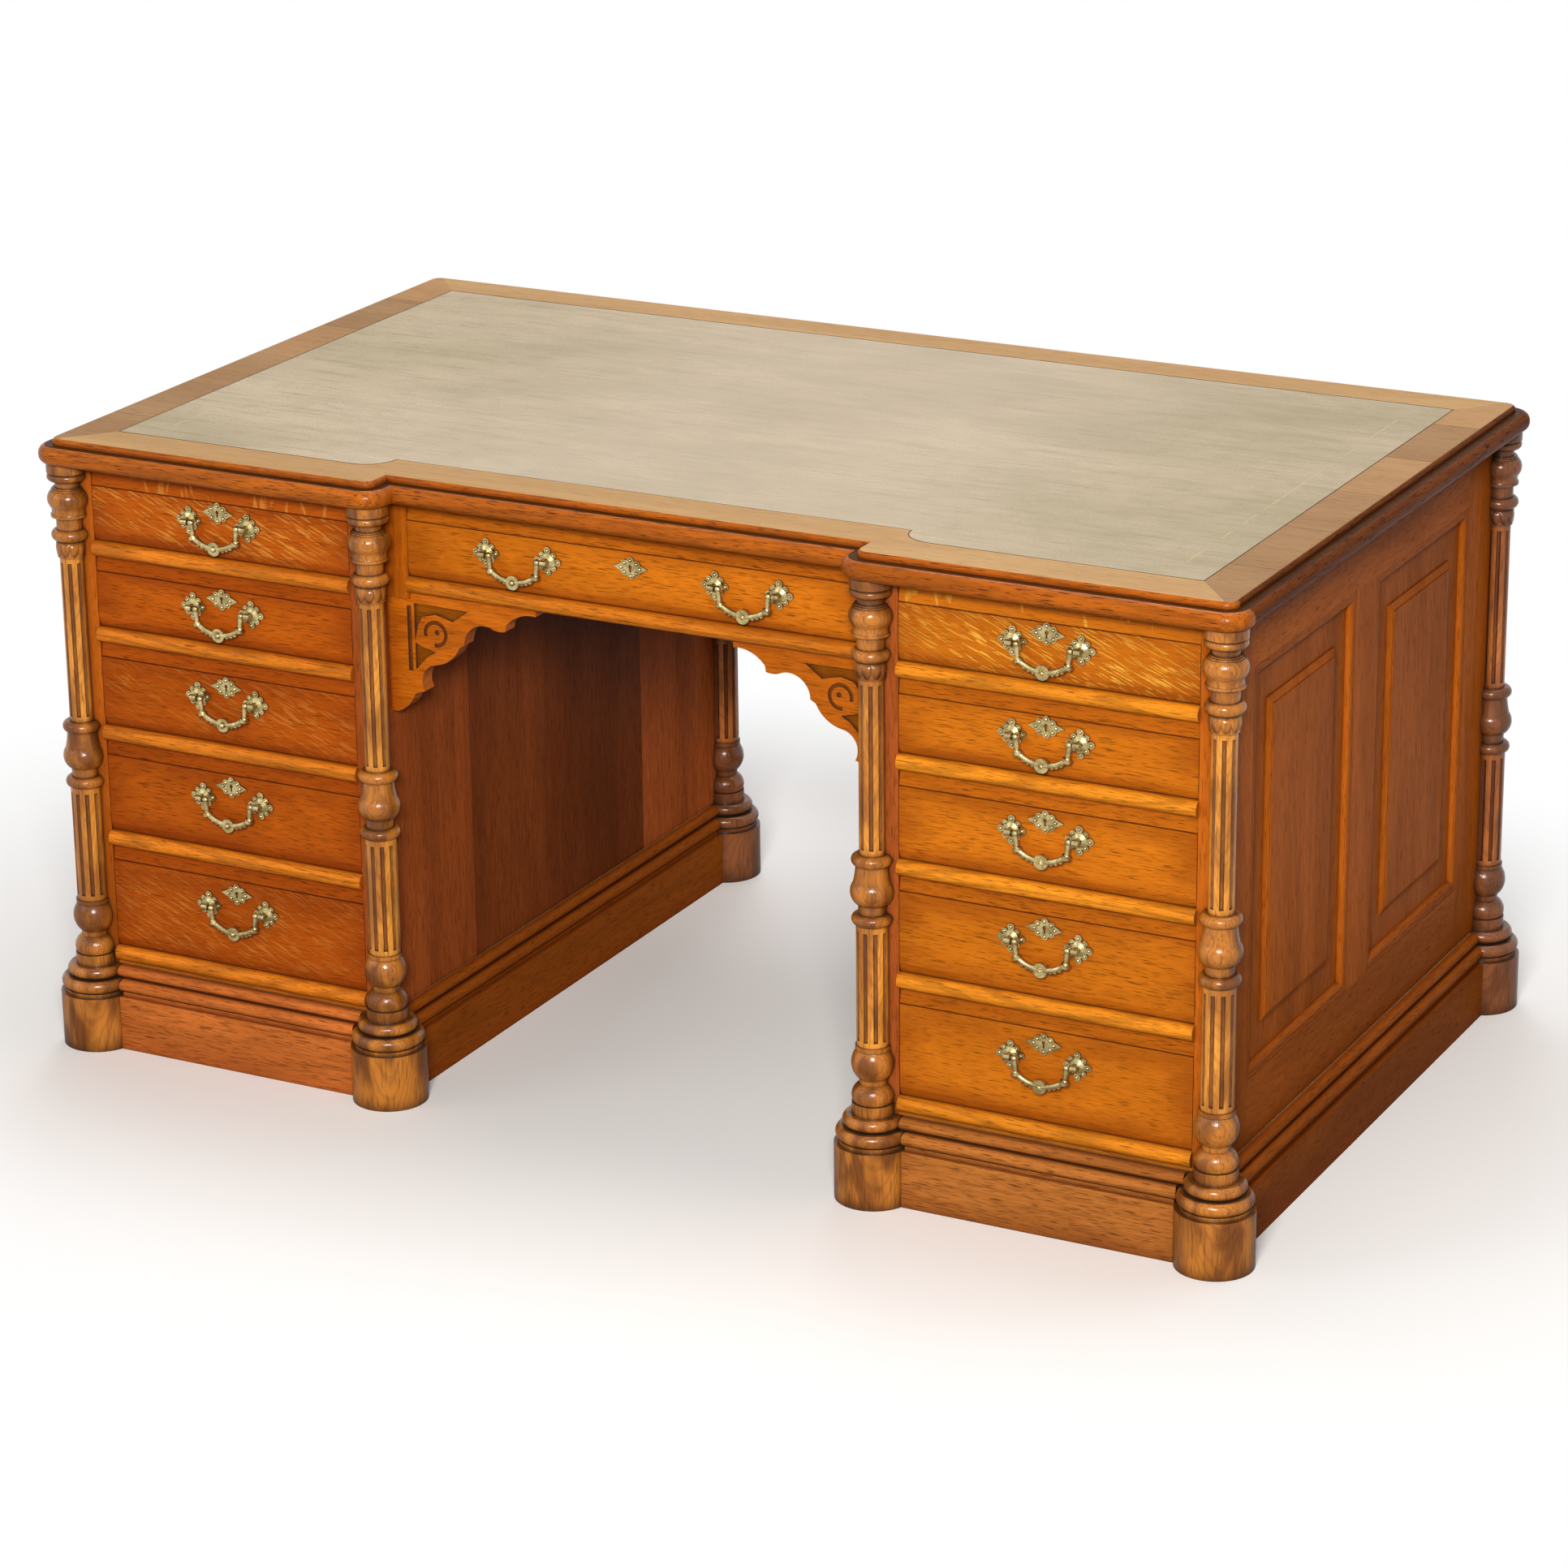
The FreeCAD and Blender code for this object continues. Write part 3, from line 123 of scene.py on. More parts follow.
def oak(name, axis, pale, deep, rays="none", figure=0.5, fibres=0.40, pore_dark=0.55, gloss=0.30,
        shine=0.08, shade_halo=0.5, bright=1.0, grime_and_shade=(0.020, 0.010, 0.005), feet=1.0, edges=0.0, seed=0.0,
        joints=0.0):
    """Polished oak with its grain along one axis: bands, growth lines, open pores and pale ray flecks.

    rays is dash for short slanting flecks, band for wide flecks across the grain, cloud for mottling, or
    none; bright is the strength of the dashes. grime_and_shade colours the dark joints between crossband
    pieces and fills the corners and grooves as painted shade, shade_halo is the strength of painted shade on
    the wood round mouldings and fittings, feet darkens it towards the floor, edges is the strength of
    painted shade in uneven patches along the margins of a drawer front, and joints is how many crossband
    pieces meet in a metre.
    """
    g = Graph(name)
    index = AXES[axis]
    chance = g.node("ShaderNodeObjectInfo").outputs["Random"]
    shift = g.node("ShaderNodeCombineXYZ", {"X": g.times(chance, 3.1), "Y": g.times(chance, 5.7),
                                            "Z": g.times(chance, 4.3)}).outputs[0]
    own = g.node("ShaderNodeTexCoord").outputs["Object"]
    source = g.node("ShaderNodeVectorMath", {0: own, 1: shift}, operation="ADD").outputs[0]

    def stretched(along, offset, tilt=0.0):
        scale = [1.0, 1.0, 1.0]
        scale[index] = along
        vector = source
        if tilt:
            vector = g.node("ShaderNodeMapping", {"Vector": vector, "Rotation": (0, tilt, 0)}).outputs[0]
        place = [part + seed for part in offset]
        return g.node("ShaderNodeMapping", {"Vector": vector, "Scale": scale, "Location": place}).outputs[0]

    bands = g.noise(stretched(0.12, (0.3, 0.1, 0.7)), 13.0, 4.0, 0.6, 0.4)
    hills = g.noise(stretched(0.10, (1.3, 0.6, 0.2)), 11.0, 1.5, 0.5, 0.3)
    growth = g.span(g.math("SINE", g.times(hills, 120.0)), -0.1, 0.95)
    fibre = g.noise(stretched(0.075, (0.9, 0.4, 1.2)), 430.0, 3.0, 0.65)
    pores = g.noise(stretched(0.055, (0.0, 2.1, 0.4)), 900.0, 1.5, 0.6)
    colour = g.mix(g.span(bands, 0.30, 0.70), deep, pale)
    dark = scaled(deep, 0.42)
    colour = g.mix(g.times(growth, 0.42 * figure), colour, dark)
    colour = g.mix(g.span(fibre, 0.42, 0.72, 0.0, fibres), colour, dark)
    light = (1.20 * pale[0] + 0.04, 2.10 * pale[1] + 0.03, 3.4 * pale[2] + 0.02)
    if rays == "dash":
        fleck = g.noise(stretched(0.075, (0.2, 0.5, 0.8), -0.40), 520.0, 0.6, 0.5, 0.12)
        patch = g.noise(stretched(0.5, (0.6, 0.1, 0.3)), 12.0, 2.0)
        strong = g.span(patch, 0.34, 0.56, 0.30 * bright, 0.95 * bright)
        colour = g.mix(g.times(g.span(fleck, 0.575, 0.625), strong), colour, light)
    elif rays == "band":
        fleck = g.noise(stretched(4.0, (0.7, 0.2, 0.1), 0.20), 13.0, 1.5, 0.5, 1.2)
        colour = g.mix(g.span(fleck, 0.59, 0.66, 0.0, 0.70), colour, light)
    elif rays == "cloud":
        cloud = g.noise(stretched(0.45, (0.4, 0.3, 0.9)), 26.0, 3.0, 0.6, 1.2)
        colour = g.mix(g.span(cloud, 0.46, 0.70, 0.0, 0.55), colour, scaled(pale, 1.12))
    pore = g.span(pores, 0.55, 0.68)
    colour = g.mix(g.times(pore, pore_dark), colour, scaled(deep, 0.22))
    tone = g.span(chance, 0.0, 1.0, 0.92, 1.06)
    if feet < 1.0:
        tone = g.times(tone, g.span(g.part(own, "Z"), 0.03, 0.32, feet, 1.0))
    if joints:
        run = g.times(g.part(own, "Y"), joints)
        piece = g.node("ShaderNodeTexWhiteNoise", {"W": g.math("FLOOR", run)}, noise_dimensions="1D")
        tone = g.times(tone, g.span(piece.outputs["Value"], 0.0, 1.0, 0.82, 1.12))
    grey = g.node("ShaderNodeCombineColor", {0: tone, 1: tone, 2: tone}).outputs[0]
    colour = g.mix(1.0, colour, grey, "MULTIPLY")
    if joints:
        seam = g.math("LESS_THAN", g.math("FRACT", run), SEAM_WIDTH * joints)
        colour = g.mix(g.times(seam, 0.75), colour, grime_and_shade)
    if edges:
        # Painted shade: a drawer front darkens in uneven patches along its ends, foot and head, next to its
        # mouldings.
        place = g.node("ShaderNodeTexCoord").outputs["Generated"]
        level = g.part(place, "Z")
        ends = g.span(g.math("ABSOLUTE", g.math("SUBTRACT", g.part(place, "X"), 0.5)), 0.34, 0.50)
        margin = g.math("MAXIMUM", g.span(level, 0.26, 0.06), g.span(level, 0.56, 0.82))
        margin = g.math("MAXIMUM", margin, ends)
        patches = g.noise(stretched(0.3, (0.8, 0.3, 0.5)), 16.0, 3.0, 0.6)
        margin = g.times(margin, g.span(patches, 0.35, 0.62, 0.30 * edges, edges))
        colour = g.mix(margin, colour, scaled(deep, 0.50, 0.36, 0.50))
    if shade_halo:
        # Painted shade: the wood within a few centimetres of mouldings and fittings is darkened.
        near = g.crevice(0.030, 0.97, 0.55)
        colour = g.mix(g.times(near, shade_halo), colour, scaled(deep, 0.50, 0.34, 0.40))
    # Painted shade: grooves and corners darken towards the corner colour, which also colours the dark
    # joints.
    groove = g.crevice(0.008)
    colour = g.mix(g.times(groove, 0.8), colour, grime_and_shade)
    g.put(g.shader.inputs["Base Color"], colour)
    rough = g.math("ADD", g.times(pore, 0.20), g.span(bands, 0.3, 0.7, gloss + 0.06, gloss))
    g.put(g.shader.inputs["Roughness"], g.math("ADD", rough, g.times(groove, 0.25)))
    g.shader.inputs["Specular IOR Level"].default_value = shine
    g.bump(g.math("SUBTRACT", g.times(fibre, 0.35), pore), 0.25, 0.0004)
    return g.material


def turned(name, pale, deep):
    """Turned and polished oak, its growth layers ringing the bulges, with painted shade in its recesses."""
    g = Graph(name)
    own = g.node("ShaderNodeTexCoord").outputs["Object"]
    cloud = g.noise(g.coords((1, 1, 0.35)), 34.0, 2.0, 0.5, 0.3)
    wave = g.noise(g.coords((1, 1, 0.6), (0.3, 0.8, 0.1)), 22.0, 2.0, 0.5)
    heart = (0.45, -0.85, 0.12)
    depth = g.node("ShaderNodeVectorMath", {0: own, 1: heart}, operation="DOT_PRODUCT").outputs["Value"]
    layers = g.math("SINE", g.math("ADD", g.times(depth, 2300.0), g.times(wave, 20.0)))
    pores = g.noise(g.coords((1, 1, 0.06), (0.2, 0.5, 0.7)), 520.0, 2.0, 0.6)
    pore = g.span(pores, 0.54, 0.68)
    colour = g.mix(g.span(cloud, 0.36, 0.63), deep, pale)
    colour = g.mix(g.span(layers, 0.1, 0.95, 0.0, 0.22), colour, scaled(deep, 0.45))
    dark = scaled(deep, 0.25)
    colour = g.mix(g.times(pore, 0.50), colour, dark)
    # Painted shade: wood near hollows and recesses is darkened, and the grooves turn nearly black.
    colour = g.mix(g.times(g.crevice(0.024, 0.93, 0.42), 0.80), colour, dark)
    groove = g.crevice(0.007, 0.80, 0.30)
    colour = g.mix(g.times(groove, 0.95), colour, (0.016, 0.008, 0.005))
    g.put(g.shader.inputs["Base Color"], colour)
    rough = g.math("ADD", g.span(cloud, 0.3, 0.7, 0.22, 0.15), g.times(groove, 0.4))
    g.put(g.shader.inputs["Roughness"], rough)
    g.shader.inputs["Specular IOR Level"].default_value = 0.32
    g.bump(g.times(pore, -1.0), 0.25, 0.0004)
    return g.material


def brass(name):
    """Old lacquered brass: pale where it is rubbed, brown and dull in its hollows."""
    g = Graph(name)
    cloud = g.noise(g.coords((1, 1, 1)), 90.0, 4.0, 0.6, 0.5)
    speck = g.noise(g.coords((1, 1, 1), (0.4, 0.2, 0.9)), 620.0, 2.0, 0.6)
    colour = g.mix(g.span(cloud, 0.35, 0.68), (0.34, 0.26, 0.105), (0.64, 0.53, 0.26))
    colour = g.mix(g.span(speck, 0.52, 0.72, 0.0, 0.6), colour, (0.13, 0.095, 0.045))
    hollow = g.crevice(0.005, 0.85, 0.30)
    colour = g.mix(g.times(hollow, 0.9), colour, (0.045, 0.032, 0.018))
    g.put(g.shader.inputs["Base Color"], colour)
    g.shader.inputs["Metallic"].default_value = 1.0
    rough = g.math("ADD", g.span(cloud, 0.3, 0.7, 0.36, 0.22), g.times(hollow, 0.3))
    g.put(g.shader.inputs["Roughness"], rough)
    g.bump(g.math("ADD", g.times(cloud, 0.6), speck), 0.35, 0.0006)
    return g.material


def leather(name, line_x, line_y):
    """Old hide with a fine pebbled grain, faint streaks, a rubbed middle, a worn gilt line and painted
    glare.

    The line runs inside the two ends and the back, at line_x and line_y from the middle.
    """
    g = Graph(name)
    wear = g.noise(g.coords((1, 1.6, 1)), 3.2, 4.0, 0.6, 0.4)
    blotch = g.noise(g.coords((1, 1, 1), (0.7, 0.3, 0)), 26.0, 3.0, 0.6)
    streak = g.noise(g.coords((0.12, 1, 1), (0.1, 0.9, 0)), 46.0, 3.0, 0.6)
    scratch = g.noise(g.coords((0.05, 1, 1), (0.5, 0.2, 0)), 210.0, 2.0, 0.6)
    pebble = g.node("ShaderNodeTexVoronoi", {"Vector": g.coords((1, 1, 1)), "Scale": 640.0},
                    feature="F1").outputs["Distance"]
    colour = g.mix(g.span(wear, 0.3, 0.72), (0.400, 0.320, 0.198), (0.570, 0.458, 0.322))
    colour = g.mix(g.span(streak, 0.46, 0.74, 0.0, 0.35), colour, (0.262, 0.225, 0.118))
    colour = g.mix(g.span(scratch, 0.54, 0.70, 0.0, 0.40), colour, (0.205, 0.180, 0.100))
    colour = g.mix(g.span(blotch, 0.48, 0.76, 0.0, 0.25), colour, (0.285, 0.232, 0.140))
    colour = g.mix(g.span(pebble, 0.40, 0.80, 0.0, 0.25), colour, (0.165, 0.135, 0.085))
    own = g.node("ShaderNodeTexCoord").outputs["Object"]
    x, y = g.part(own, "X"), g.part(own, "Y")
    across, along = g.math("ABSOLUTE", x), g.math("ABSOLUTE", y)
    colour = g.mix(g.span(across, 0.62, 0.10, 0.0, 0.30), colour, (0.640, 0.530, 0.425))
    # Painted glare: the leather darkens towards the right end, so the left end looks lit by glare.
    colour = g.mix(g.span(x, 0.15, 0.70, 0.0, 0.22), colour, (0.285, 0.232, 0.140))

    def on_line(value, place):
        return g.math("LESS_THAN", g.math("ABSOLUTE", g.math("SUBTRACT", value, place)), GILT_HALF_WIDTH)

    ends = g.times(on_line(across, line_x), g.math("LESS_THAN", along, line_y))
    back = g.times(on_line(y, line_y), g.math("LESS_THAN", across, line_x))
    gilt = g.times(g.math("MAXIMUM", ends, back), g.span(blotch, 0.40, 0.62, 0.0, 0.45))
    colour = g.mix(gilt, colour, (0.640, 0.460, 0.190))
    g.put(g.shader.inputs["Base Color"], colour)
    g.put(g.shader.inputs["Roughness"], g.span(wear, 0.3, 0.7, 0.68, 0.78))
    g.bump(g.times(pebble, -1.0), 0.25, 0.0004)
    return g.material


def shade(pair, red, green=None):
    """A pair of tones made deeper or redder."""
    return [scaled(tone, red, green) for tone in pair]


FRONT = ((0.740, 0.215, 0.010), (0.490, 0.130, 0.006))
FIELD = ((0.560, 0.152, 0.007), (0.455, 0.118, 0.005))
SHAFT = ((0.740, 0.290, 0.036), (0.390, 0.132, 0.016))
TURNED = ((0.490, 0.170, 0.022), (0.180, 0.054, 0.008))
# The posts at the back take darker oak: painted shade, as they are lit less.
SHADED_BACK_SHAFT = ((0.520, 0.160, 0.034), (0.300, 0.088, 0.019))
SHADED_BACK_TURNED = ((0.250, 0.082, 0.026), (0.150, 0.048, 0.016))
# The ends, doors and the plinth's back and ends take darker, redder oak than the fronts: painted shade on
# faces turned from the light.
SHADED_SIDE = ((0.590, 0.143, 0.012), (0.400, 0.094, 0.008))
KNEE = ((0.400, 0.091, 0.018), (0.270, 0.059, 0.012))
PLINTH = ((0.440, 0.138, 0.026), (0.290, 0.084, 0.015))
BORDER = ((0.550, 0.322, 0.128), (0.462, 0.260, 0.100))
LINING = ((0.330, 0.200, 0.095), (0.220, 0.125, 0.055))
MAUVE = (0.060, 0.030, 0.022)

OAK = {}
for axis in "xz":
    OAK["front" + axis] = oak("oak_front_" + axis, axis, *shade(FRONT, 0.80, 0.68), figure=0.5)
# Shaded copies of the oak: painted shade for the faces turned from the light.
for axis in "xyz":
    OAK["side" + axis] = oak("oak_side_" + axis, axis, *SHADED_SIDE, figure=0.3, fibres=0.2, shine=0.012, feet=0.50)
for axis in "xy":
    OAK["lining" + axis] = oak("oak_lining_" + axis, axis, *LINING, gloss=0.5, shine=0.15, shade_halo=0.0)
# The fields' tones differ by pedestal: the left ones darker as painted shade where the light falls off, and
# redder in their own timber.
for place, red, green in (("right", 1.00, 1.02), ("centre", 1.08, 1.10), ("left", 0.86, 0.65)):
    tones = shade(FIELD, red, green)
    OAK["flecked_" + place] = oak(f"oak_flecked_{place}", "x", *tones, rays="dash", figure=0.1, fibres=0.2,
                                  edges=0.55)
    OAK["banded_" + place] = oak(f"oak_banded_{place}", "x", *tones, rays="band", figure=0.1, fibres=0.2,
                                 seed=3.0)
    OAK["field_" + place] = oak(f"oak_field_{place}", "x", *tones, rays="cloud", figure=0.08, fibres=0.35,
                                pore_dark=0.75, shine=0.06, edges=0.60, seed=7.0)
    OAK["strip_" + place] = oak(f"oak_strip_{place}", "x", *shade(tones, 0.82, 0.76), figure=0.3, fibres=0.4,
                                pore_dark=0.8, shine=0.06, seed=8.0)
# The blazed left fields are darker too, with the same painted shade.
OAK["blazed_left"] = oak("oak_blazed_left", "x", *shade(FIELD, 0.76, 0.54), rays="dash", bright=0.5,
                         figure=0.08, fibres=0.3, shine=0.06, edges=0.45, seed=4.0)
# Painted light: the rails' tones differ by place, set to how the light falls on each pedestal.
for place, red, green in (("right", 1.08, 1.26), ("centre", 1.0, 1.0), ("left", 1.11, 1.10)):
    OAK["rail_" + place] = oak(f"oak_round_rail_{place}", "x", *shade(FRONT, red, green), figure=1.0,
                               pore_dark=0.75, shine=0.15, seed=5.0)
for place, shaft, bulges in (("front", SHAFT, TURNED), ("back", SHADED_BACK_SHAFT, SHADED_BACK_TURNED)):
    OAK["shaft_" + place] = turned(f"oak_shaft_{place}", *shaft)
    # Painted shade: the flutes take a darker copy of the shaft's oak in their hollows.
    OAK["flute_" + place] = turned(f"oak_flute_{place}", *shade(shaft, 0.42, 0.36))
    OAK["turned_" + place] = turned(f"oak_turned_{place}", *bulges)
# Painted light: the left plinth's oak is lighter than the right's, making up for the light falling off to
# the left.
OAK["plinth_right"] = oak("oak_plinth_right", "x", *shade(PLINTH, 1.0, 1.07), figure=0.4, pore_dark=0.8)
OAK["plinth_left"] = oak("oak_plinth_left", "x", *shade(PLINTH, 1.46, 1.29), figure=0.4, pore_dark=0.8)
OAK["nosing"] = oak("oak_nosing", "x", *shade(FRONT, 0.72, 0.62), figure=0.8, pore_dark=1.0, shine=0.14,
                    gloss=0.22, seed=1.0)
# Painted shade: the top's edge along the ends is darker than along the front.
OAK["nosing_end"] = oak("oak_nosing_end", "y", *shade(SHADED_SIDE, 0.34), figure=0.5, pore_dark=0.9, shine=0.02)
# Painted shade: the step at the foot of the lip is nearly black, for the dark groove between lip and nosing;
# the stringing round the leather takes the same dark oak.
OAK["ledge"] = oak("oak_dark_ledge", "x", *shade(FRONT, 0.10), figure=0.3, shine=0.03, shade_halo=0.0)
# The carving's grooves darken to a mauve-black painted shade.
OAK["sunk"] = oak("oak_sunk_ground", "x", *shade(FRONT, 0.40), figure=0.5, shine=0.03, grime_and_shade=MAUVE)
OAK["border"] = oak("oak_top_border", "x", *BORDER, figure=0.15, fibres=0.12, pore_dark=0.25, shine=0.32,
                    gloss=0.62, shade_halo=0.0)
OAK["crossband"] = oak("oak_top_crossband", "x", *shade(BORDER, 0.82, 0.76), figure=0.15, fibres=0.12,
                       pore_dark=0.3, shine=0.30, gloss=0.62, shade_halo=0.0, joints=6.3)
# The boards step darker to the third and lighter at the back: partly their own tones, partly painted shade
# inside the kneehole.
for count, tone in enumerate((1.0, 0.66, 0.50, 1.15)):
    OAK[f"knee{count}"] = oak(f"oak_knee_board_{count}", "z", *shade(KNEE, tone), figure=0.3, shine=0.012,
                              shade_halo=0.0, seed=2.3 * count)
BRASS = brass("aged_brass")
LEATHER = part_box("leather_inlay")
GILT_INSET = (0.045, 0.055)
HIDE = leather("desk_leather", LEATHER[1].x - GILT_INSET[0], LEATHER[1].y - GILT_INSET[1])


# Each board of a node takes the oak that runs along it, found from where its faces lie

def dress(obj, rules):
    """rules pairs a test on face centres with a material; the first that holds is taken."""
    mesh = obj.data
    mesh.materials.clear()
    centres = np.empty(len(mesh.polygons) * 3)
    mesh.polygons.foreach_get("center", centres)
    x, y, z = centres.reshape(-1, 3).T
    tests, materials = zip(*rules)
    chosen = np.full(len(mesh.polygons), len(rules) - 1, dtype=np.int32)
    for index in reversed(range(len(rules))):
        chosen[np.broadcast_to(tests[index](x, y, z), chosen.shape)] = index
    for material in materials:
        mesh.materials.append(material)
    mesh.polygons.foreach_set("material_index", chosen)
    mesh.update()


def always(x, y, z):
    return True


def between(value, low, high):
    return (value > low) & (value < high)


# Planes of the pedestals' and the wide drawer's fronts
FACE_Y, CENTRE_Y = 0.431, 0.394
# The strip, front and back of a drawer, each a tenth of a millimetre over its board
STRIP_HEIGHT, FRONT_BOARD, BACK_BOARD = 0.0171, 0.0201, 0.0091
# Axes of the posts, the levels of their two shafts, and the levels and radius of the flutes in them
INNER_X, OUTER_X, POST_Y = 0.330, 0.758, 0.436
MIDDLE_X, HALF_X = (OUTER_X + INNER_X) / 2, (OUTER_X - INNER_X) / 2
SHAFTS = ((0.1914, 0.3392), (0.4254, 0.6359))
FLUTES = ((0.196, 0.335, 0.0189), (0.430, 0.632, 0.0147))
# The top's lip, and where the end runs of its edge, darker as painted shade, begin
LIP_HEIGHT = 0.008
END_RUN_X, END_RUN_Y = 0.7650, -0.348
# Openings of the framed ends: from and to across the depth, foot and head; and the bevel of their panels
END_OPENING = (0.033, 0.341, 0.185, 0.680)
PANEL_BEVEL = 0.016
# Faces of the plinth, depths of the rails and the frieze, the doors' frames and the corbels' sunk ground
PLINTH_Y = 0.4325
FRONT_RAIL, BACK_RAIL = 0.060, 0.061
FRIEZE_STILE_X, FRIEZE_STILE, FRIEZE_RAIL, FRIEZE_BACK = 0.3031, 0.025, 0.061, 0.021
DOOR_STILE = 0.0581
SUNK_FROM, SUNK_TO = 0.0010, 0.0045


def drawer_rules(name, low, high):
    def front(x, y, z):
        return y < low.y + FRONT_BOARD

    strip_low = high.z - STRIP_HEIGHT
    side = "right" if low.x > 0 else "left" if high.x < 0 else "centre"
    figured = name.endswith("_1")
    strip = OAK[("banded_" if figured else "strip_") + side]
    blazed = name in ("drawer_left_3", "drawer_left_5")
    field = OAK["blazed_left" if blazed else ("flecked_" if figured else "field_") + side]
    return [(lambda x, y, z: front(x, y, z) & (z > strip_low), strip), (front, field),
            (lambda x, y, z: y > high.y - BACK_BOARD, OAK["liningx"]), (always, OAK["liningy"])]


def post_rules():
    """The flutes lie inside the shafts' radii; they and the posts at the back are darker as painted shade.
    """
    def shaft(x, y, z):
        return between(z, *SHAFTS[0]) | between(z, *SHAFTS[1])

    def fluted(x, y, z):
        reach = np.hypot(abs(abs(x) - MIDDLE_X) - HALF_X, abs(y) - POST_Y)
        lower, upper = (between(z, foot, head) & (reach < radius) for foot, head, radius in FLUTES)
        return lower | upper

    rules = []
    for side, test in (("back", lambda x, y, z: y > 0), ("front", always)):
        rules += [(lambda x, y, z, test=test: fluted(x, y, z) & test(x, y, z), OAK["flute_" + side]),
                  (lambda x, y, z, test=test: shaft(x, y, z) & test(x, y, z), OAK["shaft_" + side]),
                  (test, OAK["turned_" + side])]
    return rules


def top_rules(top):
    """The end runs of the edge take darker oak as painted shade, from a joint a little behind each front
    corner.
    """
    flat = top - 0.0005
    return [(lambda x, y, z: (z > flat) & (abs(x) > LEATHER[1].x), OAK["crossband"]),
            (lambda x, y, z: z > flat, OAK["border"]),
            (lambda x, y, z: abs(z - top + LIP_HEIGHT) < 0.0004, OAK["ledge"]),
            (lambda x, y, z: (abs(x) > END_RUN_X) & (y > END_RUN_Y), OAK["nosing_end"]),
            (always, OAK["nosing"])]


def end_frame_rules():
    near, far, low, high = END_OPENING

    def upright(x, y, z):
        return (abs(y) > far) | ((abs(y) < near) & between(z, low, high))

    return [(upright, OAK["sidez"]), (always, OAK["sidey"])]


def end_panel_rules():
    low, high = END_OPENING[2] + PANEL_BEVEL, END_OPENING[3] - PANEL_BEVEL
    return [(lambda x, y, z: (z < low) | (z > high), OAK["sidey"]), (always, OAK["sidez"])]


def knee_rules():
    """Four boards of equal width stand side by side."""
    rules = []
    for step in range(3):
        joint = (step + 1) * FACE_Y / 2 - FACE_Y
        rules.append((lambda x, y, z, joint=joint: y < joint, OAK[f"knee{step}"]))
    return rules + [(always, OAK["knee3"])]


def plinth_rules(side):
    return [(lambda x, y, z: y < -PLINTH_Y, OAK["plinth_" + side]),
            (lambda x, y, z: y > PLINTH_Y, OAK["sidex"]), (always, OAK["sidey"])]


def rail_rules(side):
    return [(lambda x, y, z: y < FRONT_RAIL - FACE_Y, OAK["rail_" + side]),
            (lambda x, y, z: y > FACE_Y - BACK_RAIL, OAK["rail_" + side]), (always, OAK["liningy"])]


def frieze_rules():
    return [(lambda x, y, z: (abs(x) > FRIEZE_STILE_X) & (y < FRIEZE_STILE - CENTRE_Y), OAK["frontz"]),
            (lambda x, y, z: y < FRIEZE_RAIL - CENTRE_Y, OAK["rail_centre"]),
            (lambda x, y, z: y > CENTRE_Y - FRIEZE_BACK, OAK["frontx"]), (always, OAK["liningy"])]


def door_rules(low, high):
    """The rails of the frame lie between its stiles."""
    def rail(x, y, z):
        end = (z < low.z + DOOR_STILE) | (z > high.z - DOOR_STILE)
        return end & between(x, low.x + DOOR_STILE, high.x - DOOR_STILE)

    return [(rail, OAK["sidex"]), (always, OAK["sidez"])]


def corbel_rules(face):
    """The carving's ground lies a little behind its face."""
    return [(lambda x, y, z: between(y, face + SUNK_FROM, face + SUNK_TO), OAK["sunk"]),
            (always, OAK["frontx"])]


for name, obj in NODES.items():
    low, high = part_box(name)
    if name.startswith(("bail", "fittings", "door_fittings", "door_hinges")):
        dress(obj, [(always, BRASS)])
    elif name == "leather_inlay":
        dress(obj, [(always, HIDE)])
    elif name == "top_board":
        dress(obj, top_rules(high.z))
    elif name.startswith("drawer_rails"):
        dress(obj, rail_rules(name.split("_")[-1]))
    elif name.startswith("drawer"):
        dress(obj, drawer_rules(name, low, high))
    elif name.startswith("end_frame"):
        dress(obj, end_frame_rules())
    elif name.startswith("end_panels"):
        dress(obj, end_panel_rules())
    elif name.startswith("knee_side"):
        dress(obj, knee_rules())
    elif name.startswith("plinth"):
        dress(obj, plinth_rules(name.split("_")[-1]))
    elif name.startswith("frieze"):
        dress(obj, frieze_rules())
    elif name.startswith("door"):
        dress(obj, door_rules(low, high))
    elif name.startswith("posts"):
        dress(obj, post_rules())
    elif name.startswith("corbel"):
        dress(obj, corbel_rules(low.y))
    else:
        dress(obj, [(always, OAK["liningx"])])


# Trim too thin for a board: the dark line round the leather and the leaf collars of the posts

def mesh_piece(name, vertices, faces, material, smooth=True):
    mesh = bpy.data.meshes.new(name)
    mesh.from_pydata(vertices, [], faces)
    mesh.materials.append(material)
    mesh.polygons.foreach_set("use_smooth", [smooth] * len(mesh.polygons))
    obj = bpy.data.objects.new(name, mesh)
    scene.collection.objects.link(obj)
    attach(obj, "carcass")


def leather_outline(out):
    """The edge of the writing surface, moved outwards by a little."""
    bend, turn_x, steps = 0.037, 0.377, 12
    half_x, half_y = LEATHER[1].x + out, LEATHER[1].y + out
    turn_y = bend - LEATHER[1].y
    reach = bend - out
    right = []
    for step in range(steps + 1):
        angle = math.pi / 2 * step / steps
        right.append((turn_x - reach * math.cos(angle), turn_y - reach * math.sin(angle)))
    path = [(half_x, -half_y), (half_x, half_y), (-half_x, half_y), (-half_x, -half_y)]
    return path + [(-x, y) for x, y in reversed(right)] + right


